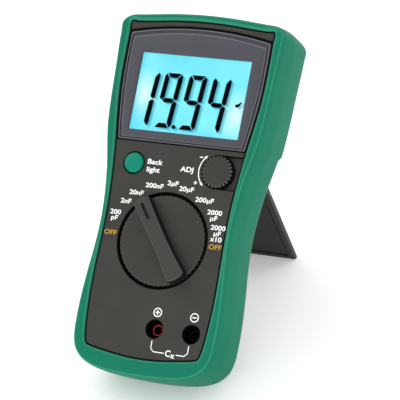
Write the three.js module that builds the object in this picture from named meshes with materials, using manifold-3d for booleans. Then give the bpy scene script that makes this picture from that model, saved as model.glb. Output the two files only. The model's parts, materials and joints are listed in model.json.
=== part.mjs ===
// Hand-held digital capacitance meter in a rubber holster, leaning on its open tilt stand.
//
// Units are millimetres. The meter is modelled lying on its back in its own frame:
//   x runs to the right across the face, y runs up the face towards the display, and
//   z runs out of the face. z = 0 is the surface of the printed panel.
// The finished group leans that frame back and stands it on the bench at z = 0.
import * as THREE from 'three';
import { mergeVertices } from 'three/addons/utils/BufferGeometryUtils.js';
import Module from 'manifold-3d';

const wasm = await Module();
wasm.setup();

// ---------------------------------------------------------------- driving dimensions

const lean = THREE.MathUtils.degToRad(45); // slope of the panel above the bench
const gap = 0.3; // running and assembly clearance between neighbouring pieces

// Levels along z, from the front rim of the holster to its back.
const rimTop = 1.3;
const rimInnerEdge = 0.2; // the rim slopes up from its opening to the crease
const rimUnderside = -0.9;
const shoulder = -1.2; // step in the front housing that the holster's lip sits on
const widestLevel = -13;
const splitLevel = -14; // joint between the front and rear housings
const housingBack = -29;
const padBack = -31.1;
const holsterBack = -31.5;
const holsterTopBack = -34; // the thicker back above the stand
const benchPlane = -122.8; // y + z everywhere on the bench, on which the holster and the stand rest

// Thicknesses.
const holsterWall = 3;
const shellWall = 2;
const panelThickness = 2.6;

// Printed circuit board.
const boardTop = -9;
const boardBottom = -10.6;

// Display.
const displayWindow = { width: 60.3, height: 40.1, y: 48.25, radius: 0.6 };
const bezelBottomY = 22.6;
const bezelTop = 0.3;
const bezelUnderside = -1.9;

// Range switch: eleven positions, 18 degrees apart, from OFF to OFF.
const dial = { y: -26.4, wellRadius: 24.7, discRadius: 22.8, gripWidth: 8.8, gripTop: 5.6 };
const rangeStep = 18;
const positionShown = 3;
const pointerAngle = THREE.MathUtils.degToRad(180 - rangeStep * positionShown);

// Back-light button, zero-adjust knob and input sockets.
const button = { x: -23.2, y: 11, holeRadius: 5.96, capRadius: 5.1, top: 1.3 };
const adjust = { x: 22.9, y: 11, radius: 8.1, top: 1.8, recessFloor: -2.2, recessHalfHeight: 8.8 };
const socket = { plusX: 4.9, minusX: 24.9, y: -70.3, wellRadius: 4.9, rimLevel: -4.7, floor: -14 };

// Tilt stand, hinged behind the display.
const stand = {
  hingeY: 24.5, hingeZ: -32.7, openAngle: THREE.MathUtils.degToRad(65.4), halfWidth: 28, thickness: 2.6,
  barrelRadius: 1.9, pinRadius: 1.1, earInner: 24.5, earOuter: 28,
};
// The stand is just long enough to reach the bench when it is open.
stand.length = (stand.hingeY + stand.hingeZ - benchPlane)
  / (Math.cos(stand.openAngle) + Math.sin(stand.openAngle));

// Battery bay behind the switch.
const battery = { width: 26.2, length: 46, depth: 17, bottomY: -59, frontZ: -11.2 };
const bay = { halfWidth: 13.9, bottomY: -59.8, topY: -2.5 };
const cover = { halfWidth: 17, bottomY: -66, topY: 1, thickness: 1.8 };
const coverScrewY = -63;

const caseScrews = [[-29, -81.5], [29, -81.5], [-37, 79], [37, 79]];
const boardScrews = [[-27, -5], [27, -5]];

// ---------------------------------------------------------------- materials

function finish(color, roughness, metalness = 0, opacity = 1) {
  return new THREE.MeshStandardMaterial({
    color, roughness, metalness, opacity, transparent: opacity < 1,
  });
}

const materials = {
  holster: () => finish(0x1f7a60, 0.6),
  panel: () => finish(0x3d3c39, 0.65),
  bezel: () => finish(0x575056, 0.4),
  knob: () => finish(0x3b3b37, 0.6),
  standPlastic: () => finish(0x33332f, 0.6),
  buttonGreen: () => finish(0x129070, 0.35),
  clear: () => finish(0xe8f4f6, 0.05, 0, 0.35),
  lcd: () => finish(0x6fdcf0, 0.2),
  diffuser: () => finish(0xeff6f8, 0.4),
  elastomer: () => finish(0xc86f8c, 0.7),
  board: () => finish(0x1d5b34, 0.5),
  chip: () => finish(0x141414, 0.4),
  redPlastic: () => finish(0xb32025, 0.4),
  blackPlastic: () => finish(0x111111, 0.45),
  whitePlastic: () => finish(0xd8d6cc, 0.5),
  brass: () => finish(0xc9a24c, 0.3, 1),
  steel: () => finish(0xb8babd, 0.3, 1),
  glass: () => finish(0xe4eeee, 0.05, 0, 0.35),
  batteryCase: () => finish(0x2b4a78, 0.4),
};

// ---------------------------------------------------------------- solids

function solidFrom(geometry) {
  const plain = geometry.clone();
  plain.deleteAttribute('normal');
  plain.deleteAttribute('uv');
  const merged = mergeVertices(plain, 1e-4);
  return new wasm.Manifold(new wasm.Mesh({
    numProp: 3,
    vertProperties: new Float32Array(merged.attributes.position.array),
    triVerts: new Uint32Array(merged.index.array),
  }));
}

function geometryFrom(solid) {
  const mesh = solid.getMesh();
  const geometry = new THREE.BufferGeometry();
  geometry.setAttribute('position', new THREE.BufferAttribute(mesh.vertProperties, 3));
  geometry.setIndex(new THREE.BufferAttribute(mesh.triVerts, 1));
  return geometry;
}

function join(...geometries) {
  return geometryFrom(geometries.map(solidFrom).reduce((whole, next) => whole.add(next)));
}

function cut(base, ...tools) {
  return geometryFrom(tools.map(solidFrom).reduce((rest, tool) => rest.subtract(tool), solidFrom(base)));
}

// A flat shape in x and y, raised between two levels. A full circle gets twice curveSegments sides.
function plate(shape, low, high, curveSegments = 3) {
  const geometry = new THREE.ExtrudeGeometry(shape, {
    depth: high - low, bevelEnabled: false, curveSegments,
  });
  return geometry.translate(0, 0, low);
}

function circle(x, y, radius) {
  return new THREE.Shape().absarc(x, y, radius, 0, 2 * Math.PI);
}

function disc(x, y, radius, low, high, sides = 20) {
  return plate(circle(x, y, radius), low, high, sides / 2);
}

function ring(x, y, outer, inner, low, high, sides = 24) {
  const shape = circle(x, y, outer);
  shape.holes.push(circle(x, y, inner));
  return plate(shape, low, high, sides / 2);
}

function rectangle(left, bottom, right, top, radius = 0) {
  if (radius === 0) {
    return new THREE.Shape([
      new THREE.Vector2(left, bottom), new THREE.Vector2(right, bottom),
      new THREE.Vector2(right, top), new THREE.Vector2(left, top),
    ]);
  }
  const shape = new THREE.Shape();
  shape.absarc(right - radius, bottom + radius, radius, -Math.PI / 2, 0);
  shape.absarc(right - radius, top - radius, radius, 0, Math.PI / 2);
  shape.absarc(left + radius, top - radius, radius, Math.PI / 2, Math.PI);
  shape.absarc(left + radius, bottom + radius, radius, Math.PI, 1.5 * Math.PI);
  return shape;
}

function centredRectangle(x, y, width, height, radius = 0) {
  return rectangle(x - width / 2, y - height / 2, x + width / 2, y + height / 2, radius);
}

function block(left, bottom, low, right, top, high) {
  return plate(rectangle(left, bottom, right, top), low, high);
}

// A side profile of [y, z] points, drawn out between two x positions.
function sideProfile(points, left, right) {
  const shape = new THREE.Shape(points.map(([y, z]) => new THREE.Vector2(y, z)));
  const geometry = new THREE.ExtrudeGeometry(shape, { depth: right - left, bevelEnabled: false });
  geometry.rotateY(Math.PI / 2);
  geometry.rotateX(Math.PI / 2);
  return geometry.translate(left, 0, 0);
}

// A cylinder along x.
function crossRod(y, z, radius, left, right, sides = 20) {
  const geometry = new THREE.CylinderGeometry(radius, radius, right - left, sides);
  geometry.rotateZ(Math.PI / 2);
  return geometry.translate((left + right) / 2, y, z);
}

// A closed skin through outlines of equal point count stacked along z.
function loft(levels) {
  const count = levels[0].outline.length;
  const positions = [];
  for (const { outline, z } of levels) {
    for (const point of outline) positions.push(point.x, point.y, z);
  }
  const faces = [];
  for (let level = 0; level + 1 < levels.length; level += 1) {
    for (let i = 0; i < count; i += 1) {
      const next = (i + 1) % count;
      const [a, b] = [level * count + i, level * count + next];
      const [c, d] = [a + count, b + count];
      faces.push(a, b, d, a, d, c);
    }
  }
  const last = (levels.length - 1) * count;
  for (const [a, b, c] of THREE.ShapeUtils.triangulateShape(levels[0].outline, [])) {
    faces.push(c, b, a);
    faces.push(last + a, last + b, last + c);
  }
  const geometry = new THREE.BufferGeometry();
  geometry.setAttribute('position', new THREE.Float32BufferAttribute(positions, 3));
  geometry.setIndex(faces);
  return geometry;
}

// A round wire of the given radius along a smooth curve through points.
function wire(points, radius, steps, sides = 8) {
  const path = new THREE.CatmullRomCurve3(points.map((point) => new THREE.Vector3(...point)));
  return new THREE.ExtrudeGeometry(circle(0, 0, radius), {
    steps, extrudePath: path, curveSegments: sides / 2, bevelEnabled: false,
  });
}

// ---------------------------------------------------------------- outlines

// Right half of the widest outline of the holster, from the bottom centre to the top centre.
const holsterHalf = [
  [0, -95.4], [14, -94.9], [24, -93.6], [31, -91.2], [36.4, -87], [39.2, -81.5], [40.1, -74],
  [40.2, -62], [39.2, -46], [38, -33], [37.4, -20], [37.9, -8], [39.8, 8], [42.2, 20], [43.8, 29],
  [44.7, 40], [45.6, 60], [46.2, 78], [45.3, 84], [42, 86.8], [36, 88.2], [20, 90.6], [0, 91.5],
];

const outlinePoints = 76;

function closedOutline(half) {
  const left = half.slice(1, -1).reverse().map(([x, y]) => [-x, y]);
  const curve = new THREE.CatmullRomCurve3(
    [...half, ...left].map(([x, y]) => new THREE.Vector3(x, y, 0)), true,
  );
  return curve.getSpacedPoints(outlinePoints).slice(0, -1).map(({ x, y }) => new THREE.Vector2(x, y));
}

const widestOutline = closedOutline(holsterHalf);

// The widest outline moved inwards, by a distance of its own at the bottom end.
function inset(distance, atBottom = distance) {
  return widestOutline.map((point, i) => {
    const before = widestOutline.at(i - 1);
    const after = widestOutline[(i + 1) % widestOutline.length];
    const along = after.clone().sub(before).normalize();
    const move = THREE.MathUtils.lerp(distance, atBottom, Math.max(along.x, 0) ** 2);
    return new THREE.Vector2(point.x - along.y * move, point.y + along.x * move);
  });
}

// Right side of the opening in the holster's rim, from the bottom corner to the top corner.
const openingSide = [
  [32.5, -77], [33.4, -68], [34.1, -50], [33.6, -28], [33.5, -12], [34.4, 4], [36, 20],
  [38, 35], [39.6, 50], [40, 66], [39.8, 84],
];
const faceArch = { top: 86.4, rise: 3.3, bottom: -86.4 };
// The opening's bottom edge bows down a little, and turns up at two points near each corner.
const bottomBow = { halfWidth: 20, rise: 1.7 };
const bottomCorner = [{ x: 28, rise: 3 }, { x: 31.2, rise: 4.6 }];
const bezelArch = { top: 82.7, rise: 4.1 };

function sideHalfWidth(y) {
  const upper = openingSide.findIndex(([, sideY]) => sideY >= y);
  const [x1, y1] = openingSide[upper];
  const [x0, y0] = openingSide[Math.max(upper - 1, 0)];
  return upper === 0 ? x1 : x0 + ((x1 - x0) * (y - y0)) / (y1 - y0);
}

// Points of a shallow arch from one side to the other, without its ends.
function arch(halfWidth, crown, rise) {
  return [0.7, 0.35, 0, -0.35, -0.7].map((part) => (
    new THREE.Vector2(part * halfWidth, crown - rise * part * part)
  ));
}

// The opening in the rim, or the raised panel inside it when moved in.
function faceShape(moveIn) {
  const right = openingSide.map(([x, y]) => new THREE.Vector2(x - moveIn, y - (y > 80 ? moveIn : 0)));
  const left = right.map(({ x, y }) => new THREE.Vector2(-x, y)).reverse();
  const bottom = faceArch.bottom + moveIn;
  const corner = bottomCorner.map(({ x, rise }) => new THREE.Vector2(x - moveIn, bottom + rise));
  const bow = [-1, -0.5, 0, 0.5, 1].map((part) => (
    new THREE.Vector2(part * bottomBow.halfWidth, bottom + bottomBow.rise * part * part)
  ));
  const shape = new THREE.Shape();
  shape.moveTo(right[0].x, right[0].y);
  shape.splineThru(right.slice(1));
  const halfTop = right.at(-1).x;
  shape.splineThru([...arch(halfTop, faceArch.top - moveIn, faceArch.rise), left[0]]);
  shape.splineThru(left.slice(1));
  const mirrored = corner.map(({ x, y }) => new THREE.Vector2(-x, y)).reverse();
  shape.splineThru([...mirrored, ...bow, ...corner, right[0]]);
  return shape;
}

// The display bezel's outline: an arched top, a straight bottom, sides that follow the rim.
function bezelShape(moveIn) {
  const sideGap = 1 + moveIn;
  const levels = [bezelBottomY + moveIn, 35, 50, 65, bezelArch.top - bezelArch.rise - moveIn];
  const right = levels.map((y) => new THREE.Vector2(sideHalfWidth(y) - sideGap, y));
  const left = right.map(({ x, y }) => new THREE.Vector2(-x, y)).reverse();
  const shape = new THREE.Shape();
  shape.moveTo(right[0].x, right[0].y);
  shape.splineThru(right.slice(1));
  const halfTop = right.at(-1).x;
  shape.splineThru([...arch(halfTop, bezelArch.top - moveIn, bezelArch.rise), left[0]]);
  shape.splineThru(left.slice(1));
  shape.closePath();
  return shape;
}

// ---------------------------------------------------------------- assembly helpers

const meter = new THREE.Group();

function piece(name, geometry, material, parent = meter) {
  const mesh = new THREE.Mesh(geometry, material());
  mesh.name = name;
  parent.add(mesh);
}

function subGroup(x, y, z, turn = 0, parent = meter) {
  const group = new THREE.Group();
  group.position.set(x, y, z);
  group.rotation.z = turn;
  parent.add(group);
  return group;
}

// ---------------------------------------------------------------- holster

// The rubber's outer skin: a rounded back edge, slightly drafted sides and a rim that rolls inwards.
function holsterOuter(backLevel, backTaper) {
  return loft([
    { outline: inset(5 + backTaper), z: backLevel },
    { outline: inset(2.1 + backTaper), z: backLevel + 1.3 },
    { outline: inset(0.9 + backTaper), z: backLevel + 3.2 },
    { outline: inset(0.5 + backTaper / 2), z: backLevel + 6 },
    { outline: inset(0), z: widestLevel },
    { outline: inset(1, 0.3), z: -2.6 },
    { outline: inset(1.5, 0.5), z: -0.5 },
    { outline: inset(2.1, 1), z: 0.7 },
    { outline: inset(3, 1.8), z: rimTop },
  ]);
}

// Points round the opening in the rim, moved in or out.
function openingOutline(moveIn) {
  return faceShape(moveIn).getPoints(2).slice(0, -1);
}

function buildHolster() {
  const thickTop = cut(
    holsterOuter(holsterTopBack, 0.4),
    block(-60, -120, holsterTopBack - 1, 60, stand.hingeY + 1.6, rimTop + 1),
  );
  const cavity = loft([
    { outline: inset(holsterWall), z: housingBack - gap },
    { outline: inset(holsterWall), z: rimUnderside },
  ]);
  const backWindow = plate(
    rectangle(-31, -72, 31, stand.hingeY + 6, 3), holsterTopBack - 1, housingBack,
  );
  const restFlat = sideProfile(
    [[-60, benchPlane + 60], [-130, benchPlane + 130], [-130, -60], [-60, -90]], -50, 50,
  );
  const rimOpening = loft([
    { outline: openingOutline(0), z: rimUnderside - 1 },
    { outline: openingOutline(0), z: rimInnerEdge },
    { outline: openingOutline(-2), z: rimTop + 0.2 },
  ]);
  piece('holster', cut(
    join(holsterOuter(holsterBack, 0), thickTop),
    cavity,
    rimOpening,
    backWindow,
    restFlat,
  ), materials.holster);
}

// ---------------------------------------------------------------- housings

function socketTower(x) {
  return disc(x, socket.y, socket.wellRadius + 1.6, socket.floor, -1);
}

function buildFrontHousing() {
  const shell = cut(
    loft([
      { outline: inset(holsterWall + gap), z: splitLevel },
      { outline: inset(holsterWall + gap), z: shoulder },
    ]),
    loft([
      { outline: inset(holsterWall + gap + shellWall), z: splitLevel - 1 },
      { outline: inset(holsterWall + gap + shellWall), z: -panelThickness },
    ]),
  );
  const displayDeck = plate(bezelShape(-2), -4.5, -2.2, 2);
  const adjustDeck = plate(rectangle(12, 0, 33, 22), -4.2, -2);
  const switchWall = disc(0, dial.y, dial.wellRadius + 1.5, -5.4, -2, 48);
  const guide = disc(button.x, button.y, button.holeRadius + 1.3, -2.9, -2);
  const bosses = caseScrews.map(([x, y]) => disc(x, y, 3.3, splitLevel, -2));
  const boardPosts = boardScrews.map(([x, y]) => disc(x, y, 2.6, boardTop + gap, -2));
  const pilots = [...caseScrews, ...boardScrews].map(([x, y]) => disc(x, y, 1.5, splitLevel - 1, -4.9));
  const recess = new THREE.Shape();
  recess.absarc(adjust.x, adjust.y, adjust.recessHalfHeight, Math.PI / 2, 1.5 * Math.PI);
  recess.lineTo(45, adjust.y - adjust.recessHalfHeight);
  recess.lineTo(45, adjust.y + adjust.recessHalfHeight);
  piece('front_housing', cut(
    join(
      shell, plate(faceShape(0.45), -2, 0, 2), displayDeck, adjustDeck, switchWall, guide,
      ...bosses, ...boardPosts, socketTower(socket.plusX), socketTower(socket.minusX),
    ),
    plate(bezelShape(-0.4), -2.2, 1, 2),
    plate(centredRectangle(0, displayWindow.y, 67, 47), -6, 0),
    disc(0, dial.y, dial.wellRadius, -6, 1, 48),
    disc(button.x, button.y, button.holeRadius, -4, 1),
    plate(recess, adjust.recessFloor, 1),
    disc(adjust.x, adjust.y, 3.3, -6, 0),
    disc(socket.plusX, socket.y, socket.wellRadius, socket.floor - 1, 1),
    disc(socket.minusX, socket.y, socket.wellRadius, socket.floor - 1, 1),
    ...pilots,
  ), materials.panel);
}

function buildRearHousing() {
  const outer = holsterWall + gap;
  const inner = outer + shellWall;
  const shell = cut(
    loft([
      { outline: inset(outer + 1.2), z: housingBack },
      { outline: inset(outer), z: housingBack + 1.2 },
      { outline: inset(outer), z: splitLevel - gap },
    ]),
    loft([
      { outline: inset(inner + 0.8), z: housingBack + shellWall },
      { outline: inset(inner), z: housingBack + shellWall + 0.8 },
      { outline: inset(inner), z: splitLevel + 1 },
    ]),
  );
  const pad = plate(rectangle(-30.5, -71.5, 30.5, stand.hingeY + 5.5, 3), padBack, housingBack + 1);
  const bayWalls = plate(
    rectangle(-bay.halfWidth - 1.5, bay.bottomY - 1.5, bay.halfWidth + 1.5, bay.topY),
    housingBack + 1, boardBottom - gap,
  );
  const bosses = caseScrews.map(([x, y]) => disc(x, y, 3.8, housingBack + 1, splitLevel - gap));
  const ears = [-1, 1].map((side) => join(
    crossRod(stand.hingeY, stand.hingeZ, 2.4, ...earSpan(side)),
    sideProfile([
      [stand.hingeY - 2.4, stand.hingeZ], [stand.hingeY + 2.4, stand.hingeZ],
      [stand.hingeY + 2.4, padBack + 1], [stand.hingeY - 2.4, padBack + 1],
    ], ...earSpan(side)),
  ));
  const hingeTrough = crossRod(stand.hingeY, stand.hingeZ, 2.9, -stand.earInner, stand.earInner);
  const holes = [-1, 1].map((side) => {
    const [left, right] = earSpan(side);
    return crossRod(stand.hingeY, stand.hingeZ, stand.pinRadius + gap, left - 0.5, right + 0.5);
  });
  piece('rear_housing', cut(
    join(shell, pad, bayWalls, ...bosses, ...ears),
    block(-bay.halfWidth, bay.bottomY, padBack - 1, bay.halfWidth, bay.topY + 5, boardBottom),
    plate(rectangle(
      -cover.halfWidth - gap, cover.bottomY - gap, cover.halfWidth + gap, cover.topY + gap, 2,
    ), padBack - 1, padBack + cover.thickness + gap),
    disc(0, coverScrewY, 1.3, padBack - 1, housingBack + 6),
    hingeTrough,
    ...holes,
    ...caseScrews.flatMap(([x, y]) => [
      disc(x, y, 1.7, housingBack - 4, splitLevel),
      disc(x, y, 3.1, housingBack - 4, housingBack + 2.8),
    ]),
  ), materials.panel);
}

function earSpan(side) {
  return side < 0 ? [-stand.earOuter, -stand.earInner] : [stand.earInner, stand.earOuter];
}

// ---------------------------------------------------------------- display

// The display window's outline, made larger by a margin shared between its two sides.
function windowOutline(margin, radius = 0) {
  const { width, height, y } = displayWindow;
  return centredRectangle(0, y, width + margin, height + margin, radius);
}

function buildDisplay() {
  const opening = windowOutline(0, displayWindow.radius);
  piece('display_bezel', cut(
    join(plate(bezelShape(0), bezelUnderside, -0.2, 2), plate(bezelShape(2.4), -1, bezelTop, 2)),
    plate(opening, bezelUnderside - 1, bezelTop + 1),
    plate(windowOutline(3.6), -3, -1),
  ), materials.bezel);
  piece('display_lens', plate(windowOutline(3, 1), -1.9, -1.3), materials.clear);
  piece('lcd_panel', plate(centredRectangle(0, displayWindow.y, 66, 46), -3.9, -2.2), materials.lcd);
  const lightGuide = centredRectangle(0, displayWindow.y, 61, 41, 1);
  piece('backlight_diffuser', plate(lightGuide, -6.4, -4.2), materials.diffuser);
  const frame = centredRectangle(0, displayWindow.y, 72, 50, 1);
  frame.holes.push(centredRectangle(0, displayWindow.y, 62.4, 47.4, 0));
  piece('lcd_frame', plate(frame, boardTop + gap, -4.8), materials.whitePlastic);
  const stripY = displayWindow.y - displayWindow.height / 2 - 1.8;
  piece('zebra_strip', block(
    -28, stripY - 1, boardTop + gap, 28, stripY + 0.8, -4.2,
  ), materials.elastomer);
  for (const [side, sign] of [['left', -1], ['right', 1]]) {
    const x = sign * 20;
    piece(`backlight_led_${side}`, join(
      block(x - 2.4, displayWindow.y - 1.6, boardTop + gap, x + 2.4, displayWindow.y + 1.6, -7.6),
      block(x - 1.8, displayWindow.y - 1.2, -8, x + 1.8, displayWindow.y + 1.2, -6.7),
    ), materials.whitePlastic);
  }
}

// ---------------------------------------------------------------- circuit board

function boardOutline() {
  const shape = new THREE.Shape(inset(6.4));
  const clearances = [
    ...caseScrews.map(([x, y]) => [x, y, 4.2]),
    ...boardScrews.map(([x, y]) => [x, y, 1.6]),
    [socket.plusX, socket.y, socket.wellRadius + 1.9],
    [socket.minusX, socket.y, socket.wellRadius + 1.9],
    [0, dial.y, 3.6],
  ];
  return { shape, clearances };
}

function buildBoard() {
  const { shape, clearances } = boardOutline();
  const holes = clearances.map(([x, y, radius]) => disc(x, y, radius, boardBottom - 1, boardTop + 1, 16));
  piece('main_board', cut(plate(shape, boardBottom, boardTop), ...holes), materials.board);

  const dome = new THREE.LatheGeometry([
    new THREE.Vector2(0, 0), new THREE.Vector2(7.5, 0), new THREE.Vector2(6.8, 0.9),
    new THREE.Vector2(4.4, 1.7), new THREE.Vector2(0, 2.1),
  ], 20);
  dome.rotateX(-Math.PI / 2);
  dome.translate(0, 48, boardBottom - gap);
  piece('converter_chip', dome, materials.chip);

  const underside = boardBottom - gap;
  const canHeight = 9;
  const can = disc(-16, 18, 3.1, underside - canHeight, underside);
  piece('reference_capacitor', can, materials.blackPlastic);
  const crystalHeight = 3.4;
  piece('crystal', plate(
    rectangle(12, 20, 23, 24.5, 2.2), underside - crystalHeight, underside,
  ), materials.steel);
  boardScrews.forEach(([x, y], i) => {
    piece(`board_screw_${i + 1}`, join(
      disc(x, y, 1.2, boardBottom - 1, -5.6, 10),
      disc(x, y, 2.5, boardBottom - gap - 1.8, boardBottom - gap, 16),
    ), materials.steel);
  });
}

// ---------------------------------------------------------------- range switch

function buildRangeSwitch() {
  const group = subGroup(0, dial.y, 0, pointerAngle);
  // In this group x points along the grip, towards the pointer.
  const grip = new THREE.Shape();
  const half = dial.gripWidth / 2;
  const reach = dial.discRadius - 0.5;
  grip.moveTo(-reach + 1.4, -half - 0.3);
  grip.lineTo(reach - 1, -half + 0.3);
  grip.quadraticCurveTo(reach + 0.4, 0, reach - 1, half - 0.3);
  grip.lineTo(-reach + 1.4, half + 0.3);
  grip.quadraticCurveTo(-reach - 0.4, 0, -reach + 1.4, -half - 0.3);
  const slot = rectangle(12.4, -0.75, 21.2, 0.75);
  piece('range_knob', cut(
    join(
      disc(0, 0, dial.discRadius, -4, 0.2, 60),
      disc(0, 0, dial.wellRadius - 0.5, -5.6, -3.6, 48),
      plate(grip, -1, dial.gripTop),
      disc(0, 0, 3.2, -10.9, -5),
    ),
    plate(slot, dial.gripTop - 1, dial.gripTop + 1),
  ), materials.knob, group);

  const pocketRadius = 1.5;
  const rotorRadius = 21;
  const pocketFloor = 12;
  const rotorTop = -5.9;
  const rotorBottom = -7.9;
  piece('switch_rotor', cut(
    ring(0, 0, rotorRadius, 3.5, rotorBottom, rotorTop, 40),
    ...[-1, 1].map((side) => block(
      Math.min(side * pocketFloor, side * 24), -pocketRadius, rotorBottom - 1,
      Math.max(side * pocketFloor, side * 24), pocketRadius, rotorTop - 0.5,
    )),
  ), materials.whitePlastic, group);
  [-1, 1].forEach((side, i) => {
    const ball = new THREE.SphereGeometry(0.95, 12, 8);
    ball.translate(side * 20.6, 0, -7.5);
    piece(`detent_ball_${i + 1}`, ball, materials.steel, group);
    const turns = 4;
    const coil = [];
    for (let step = 0; step <= turns * 8; step += 1) {
      const angle = (step / 8) * 2 * Math.PI;
      const along = 12.6 + (6.6 * step) / (turns * 8);
      coil.push([side * along, 0.75 * Math.cos(angle), -7.5 + 0.75 * Math.sin(angle)]);
    }
    piece(`detent_spring_${i + 1}`, wire(coil, 0.16, turns * 8, 6), materials.steel, group);
    const wiper = new THREE.Shape();
    const [inner, outer, sweep] = [8 + 4 * i, 11 + 4 * i, 0.5];
    wiper.absarc(0, 0, outer, side * 1.57 - sweep, side * 1.57 + sweep);
    wiper.absarc(0, 0, inner, side * 1.57 + sweep, side * 1.57 - sweep, true);
    piece(`wiper_contact_${i + 1}`, plate(wiper, -8.7, -8.2), materials.brass, group);
  });
}

function buildDetentRing() {
  const teeth = 360 / rangeStep;
  const inner = new THREE.Shape();
  for (let i = 0; i < teeth * 2; i += 1) {
    const angle = pointerAngle + (i * Math.PI) / teeth;
    const radius = i % 2 === 0 ? 22.4 : 21.7;
    const [x, y] = [radius * Math.cos(angle), dial.y + radius * Math.sin(angle)];
    if (i === 0) inner.moveTo(x, y);
    else inner.lineTo(x, y);
  }
  const outer = circle(0, dial.y, 24.6);
  outer.holes.push(inner);
  piece('detent_ring', plate(outer, boardTop + gap, -5.9, 20), materials.whitePlastic);
}

// ---------------------------------------------------------------- button and adjuster

function buildButton() {
  const group = subGroup(button.x, button.y, 0);
  const profile = [
    [0, -4.1], [6.6, -4.1], [6.6, -3.2], [button.capRadius, -3.2], [button.capRadius, 0.4],
    [button.capRadius - 0.6, 1], [2.6, button.top], [0, button.top],
  ].map(([radius, z]) => new THREE.Vector2(radius, z));
  const cap = new THREE.LatheGeometry(profile, 24);
  cap.rotateX(Math.PI / 2);
  piece('backlight_button', cap, materials.buttonGreen, group);
  piece('tact_plunger', disc(0, 0, 1.6, -6.2, -4.4, 12), materials.blackPlastic, group);
  piece('tact_switch', cut(
    block(-3, -3, boardTop + gap, 3, 3, -6.3),
    disc(0, 0, 1.95, -8.2, -6),
  ), materials.blackPlastic, group);
}

function buildAdjuster() {
  const group = subGroup(adjust.x, adjust.y, 0);
  const scallops = 24;
  const rim = new THREE.Shape();
  const points = [];
  for (let i = 0; i < scallops * 3; i += 1) {
    const angle = (i / (scallops * 3)) * 2 * Math.PI;
    const radius = i % 3 === 0 ? adjust.radius - 0.5 : adjust.radius;
    points.push(new THREE.Vector2(radius * Math.cos(angle), radius * Math.sin(angle)));
  }
  rim.setFromPoints(points);
  piece('adjust_knob', cut(
    join(
      plate(rim, adjust.recessFloor + gap, adjust.top - 0.5),
      disc(0, 0, adjust.radius - 0.9, 0, adjust.top, 32),
    ),
    disc(0, 0, 3.1, -4, 0),
  ), materials.knob, group);
  piece('adjust_shaft', disc(0, 0, 2.8, -7.4, -gap, 16), materials.whitePlastic, group);
  piece('adjust_potentiometer', cut(
    block(-5, -5, boardTop + gap, 5, 5, -5.2),
    disc(0, 0, 3.1, -7.8, -5),
  ), materials.whitePlastic, group);
}

// ---------------------------------------------------------------- input sockets

function buildSocket(name, x, color) {
  const group = subGroup(x, socket.y, 0);
  piece(`${name}_insulator`, cut(
    join(
      disc(0, 0, 2.95, socket.floor - 1, socket.rimLevel, 16),
      disc(0, 0, 6.2, socket.floor - gap - 1.6, socket.floor - gap, 24),
    ),
    disc(0, 0, 2.1, -17, 0, 16),
    disc(0, 0, 2.55, -17, socket.rimLevel - 1.5, 16),
  ), color, group);
  piece(`${name}_contact`, cut(
    join(
      disc(0, 0, 2.25, socket.floor - 5, socket.rimLevel - 1.8, 16),
      disc(0, 0, 3.4, socket.floor - 4, socket.floor - 2.2, 16),
    ),
    disc(0, 0, 2, socket.floor - 3.4, 0, 16),
  ), materials.brass, group);
}

// ---------------------------------------------------------------- fuse

function buildFuse() {
  const group = subGroup(-20, -72, -15.4);
  const tube = cut(crossRod(0, 0, 2.5, -6.6, 6.6, 16), crossRod(0, 0, 1.9, -8, 8, 16));
  piece('fuse_tube', tube, materials.glass, group);
  [-1, 1].forEach((side, i) => {
    const span = side < 0 ? [-10, -7] : [7, 10];
    piece(`fuse_cap_${i + 1}`, crossRod(0, 0, 2.6, ...span, 16), materials.steel, group);
    piece(`fuse_clip_${i + 1}`, sideProfile([
      [-3.5, 2.8], [-3.5, -3], [-3, -3], [-3, 2.8], [3, 2.8], [3, -3], [3.5, -3], [3.5, 2.8],
      [3.5, 4.5], [-3.5, 4.5],
    ], side * 8.5 - 1.4, side * 8.5 + 1.4), materials.brass, group);
  });
}

// ---------------------------------------------------------------- battery

function buildBattery() {
  const back = battery.frontZ - battery.depth;
  const top = battery.bottomY + battery.length;
  const middle = (battery.frontZ + back) / 2;
  const body = plate(
    rectangle(-battery.width / 2, battery.bottomY, battery.width / 2, top, 1.5), back, battery.frontZ,
  );
  const terminals = [-6.4, 6.4].map((x) => {
    const stud = new THREE.CylinderGeometry(x < 0 ? 2.8 : 3.8, x < 0 ? 2.8 : 3.8, 3.5, 16);
    return stud.translate(x, top + 0.75, middle);
  });
  piece('battery', join(body, ...terminals), materials.batteryCase);
  const snapBottom = top + 2.5 + gap;
  const snap = { bottom: snapBottom, top: snapBottom + 3.4, halfWidth: 12.4, halfDepth: 6.2 };
  piece('battery_snap', block(
    -snap.halfWidth, snap.bottom, middle - snap.halfDepth,
    snap.halfWidth, snap.top, middle + snap.halfDepth,
  ), materials.blackPlastic);
  const leads = [['red', -5, materials.redPlastic], ['black', 5, materials.blackPlastic]];
  for (const [name, x, color] of leads) {
    const endX = x * 1.6;
    const endY = snap.top + 14;
    piece(`battery_lead_${name}`, wire([
      [x, snap.top + gap, middle], [x, snap.top + 4, middle], [x * 1.3, snap.top + 9, middle + 1.5],
      [endX, endY - 1, -15], [endX, endY, -12.4], [endX, endY, boardBottom - gap],
    ], 0.7, 16), color);
  }
  piece('battery_cover', cut(
    plate(
      rectangle(-cover.halfWidth, cover.bottomY, cover.halfWidth, cover.topY, 1.7),
      padBack, padBack + cover.thickness,
    ),
    disc(0, coverScrewY, 1.6, padBack - 1, padBack + 3),
    disc(0, coverScrewY, 2.9, padBack - 1, padBack + 0.9),
  ), materials.panel);
  piece('cover_screw', join(
    disc(0, coverScrewY, 2.5, padBack + 0.1, padBack + 0.6, 16),
    disc(0, coverScrewY, 1, padBack + 0.3, housingBack + 5.5, 10),
  ), materials.steel);
}

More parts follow.
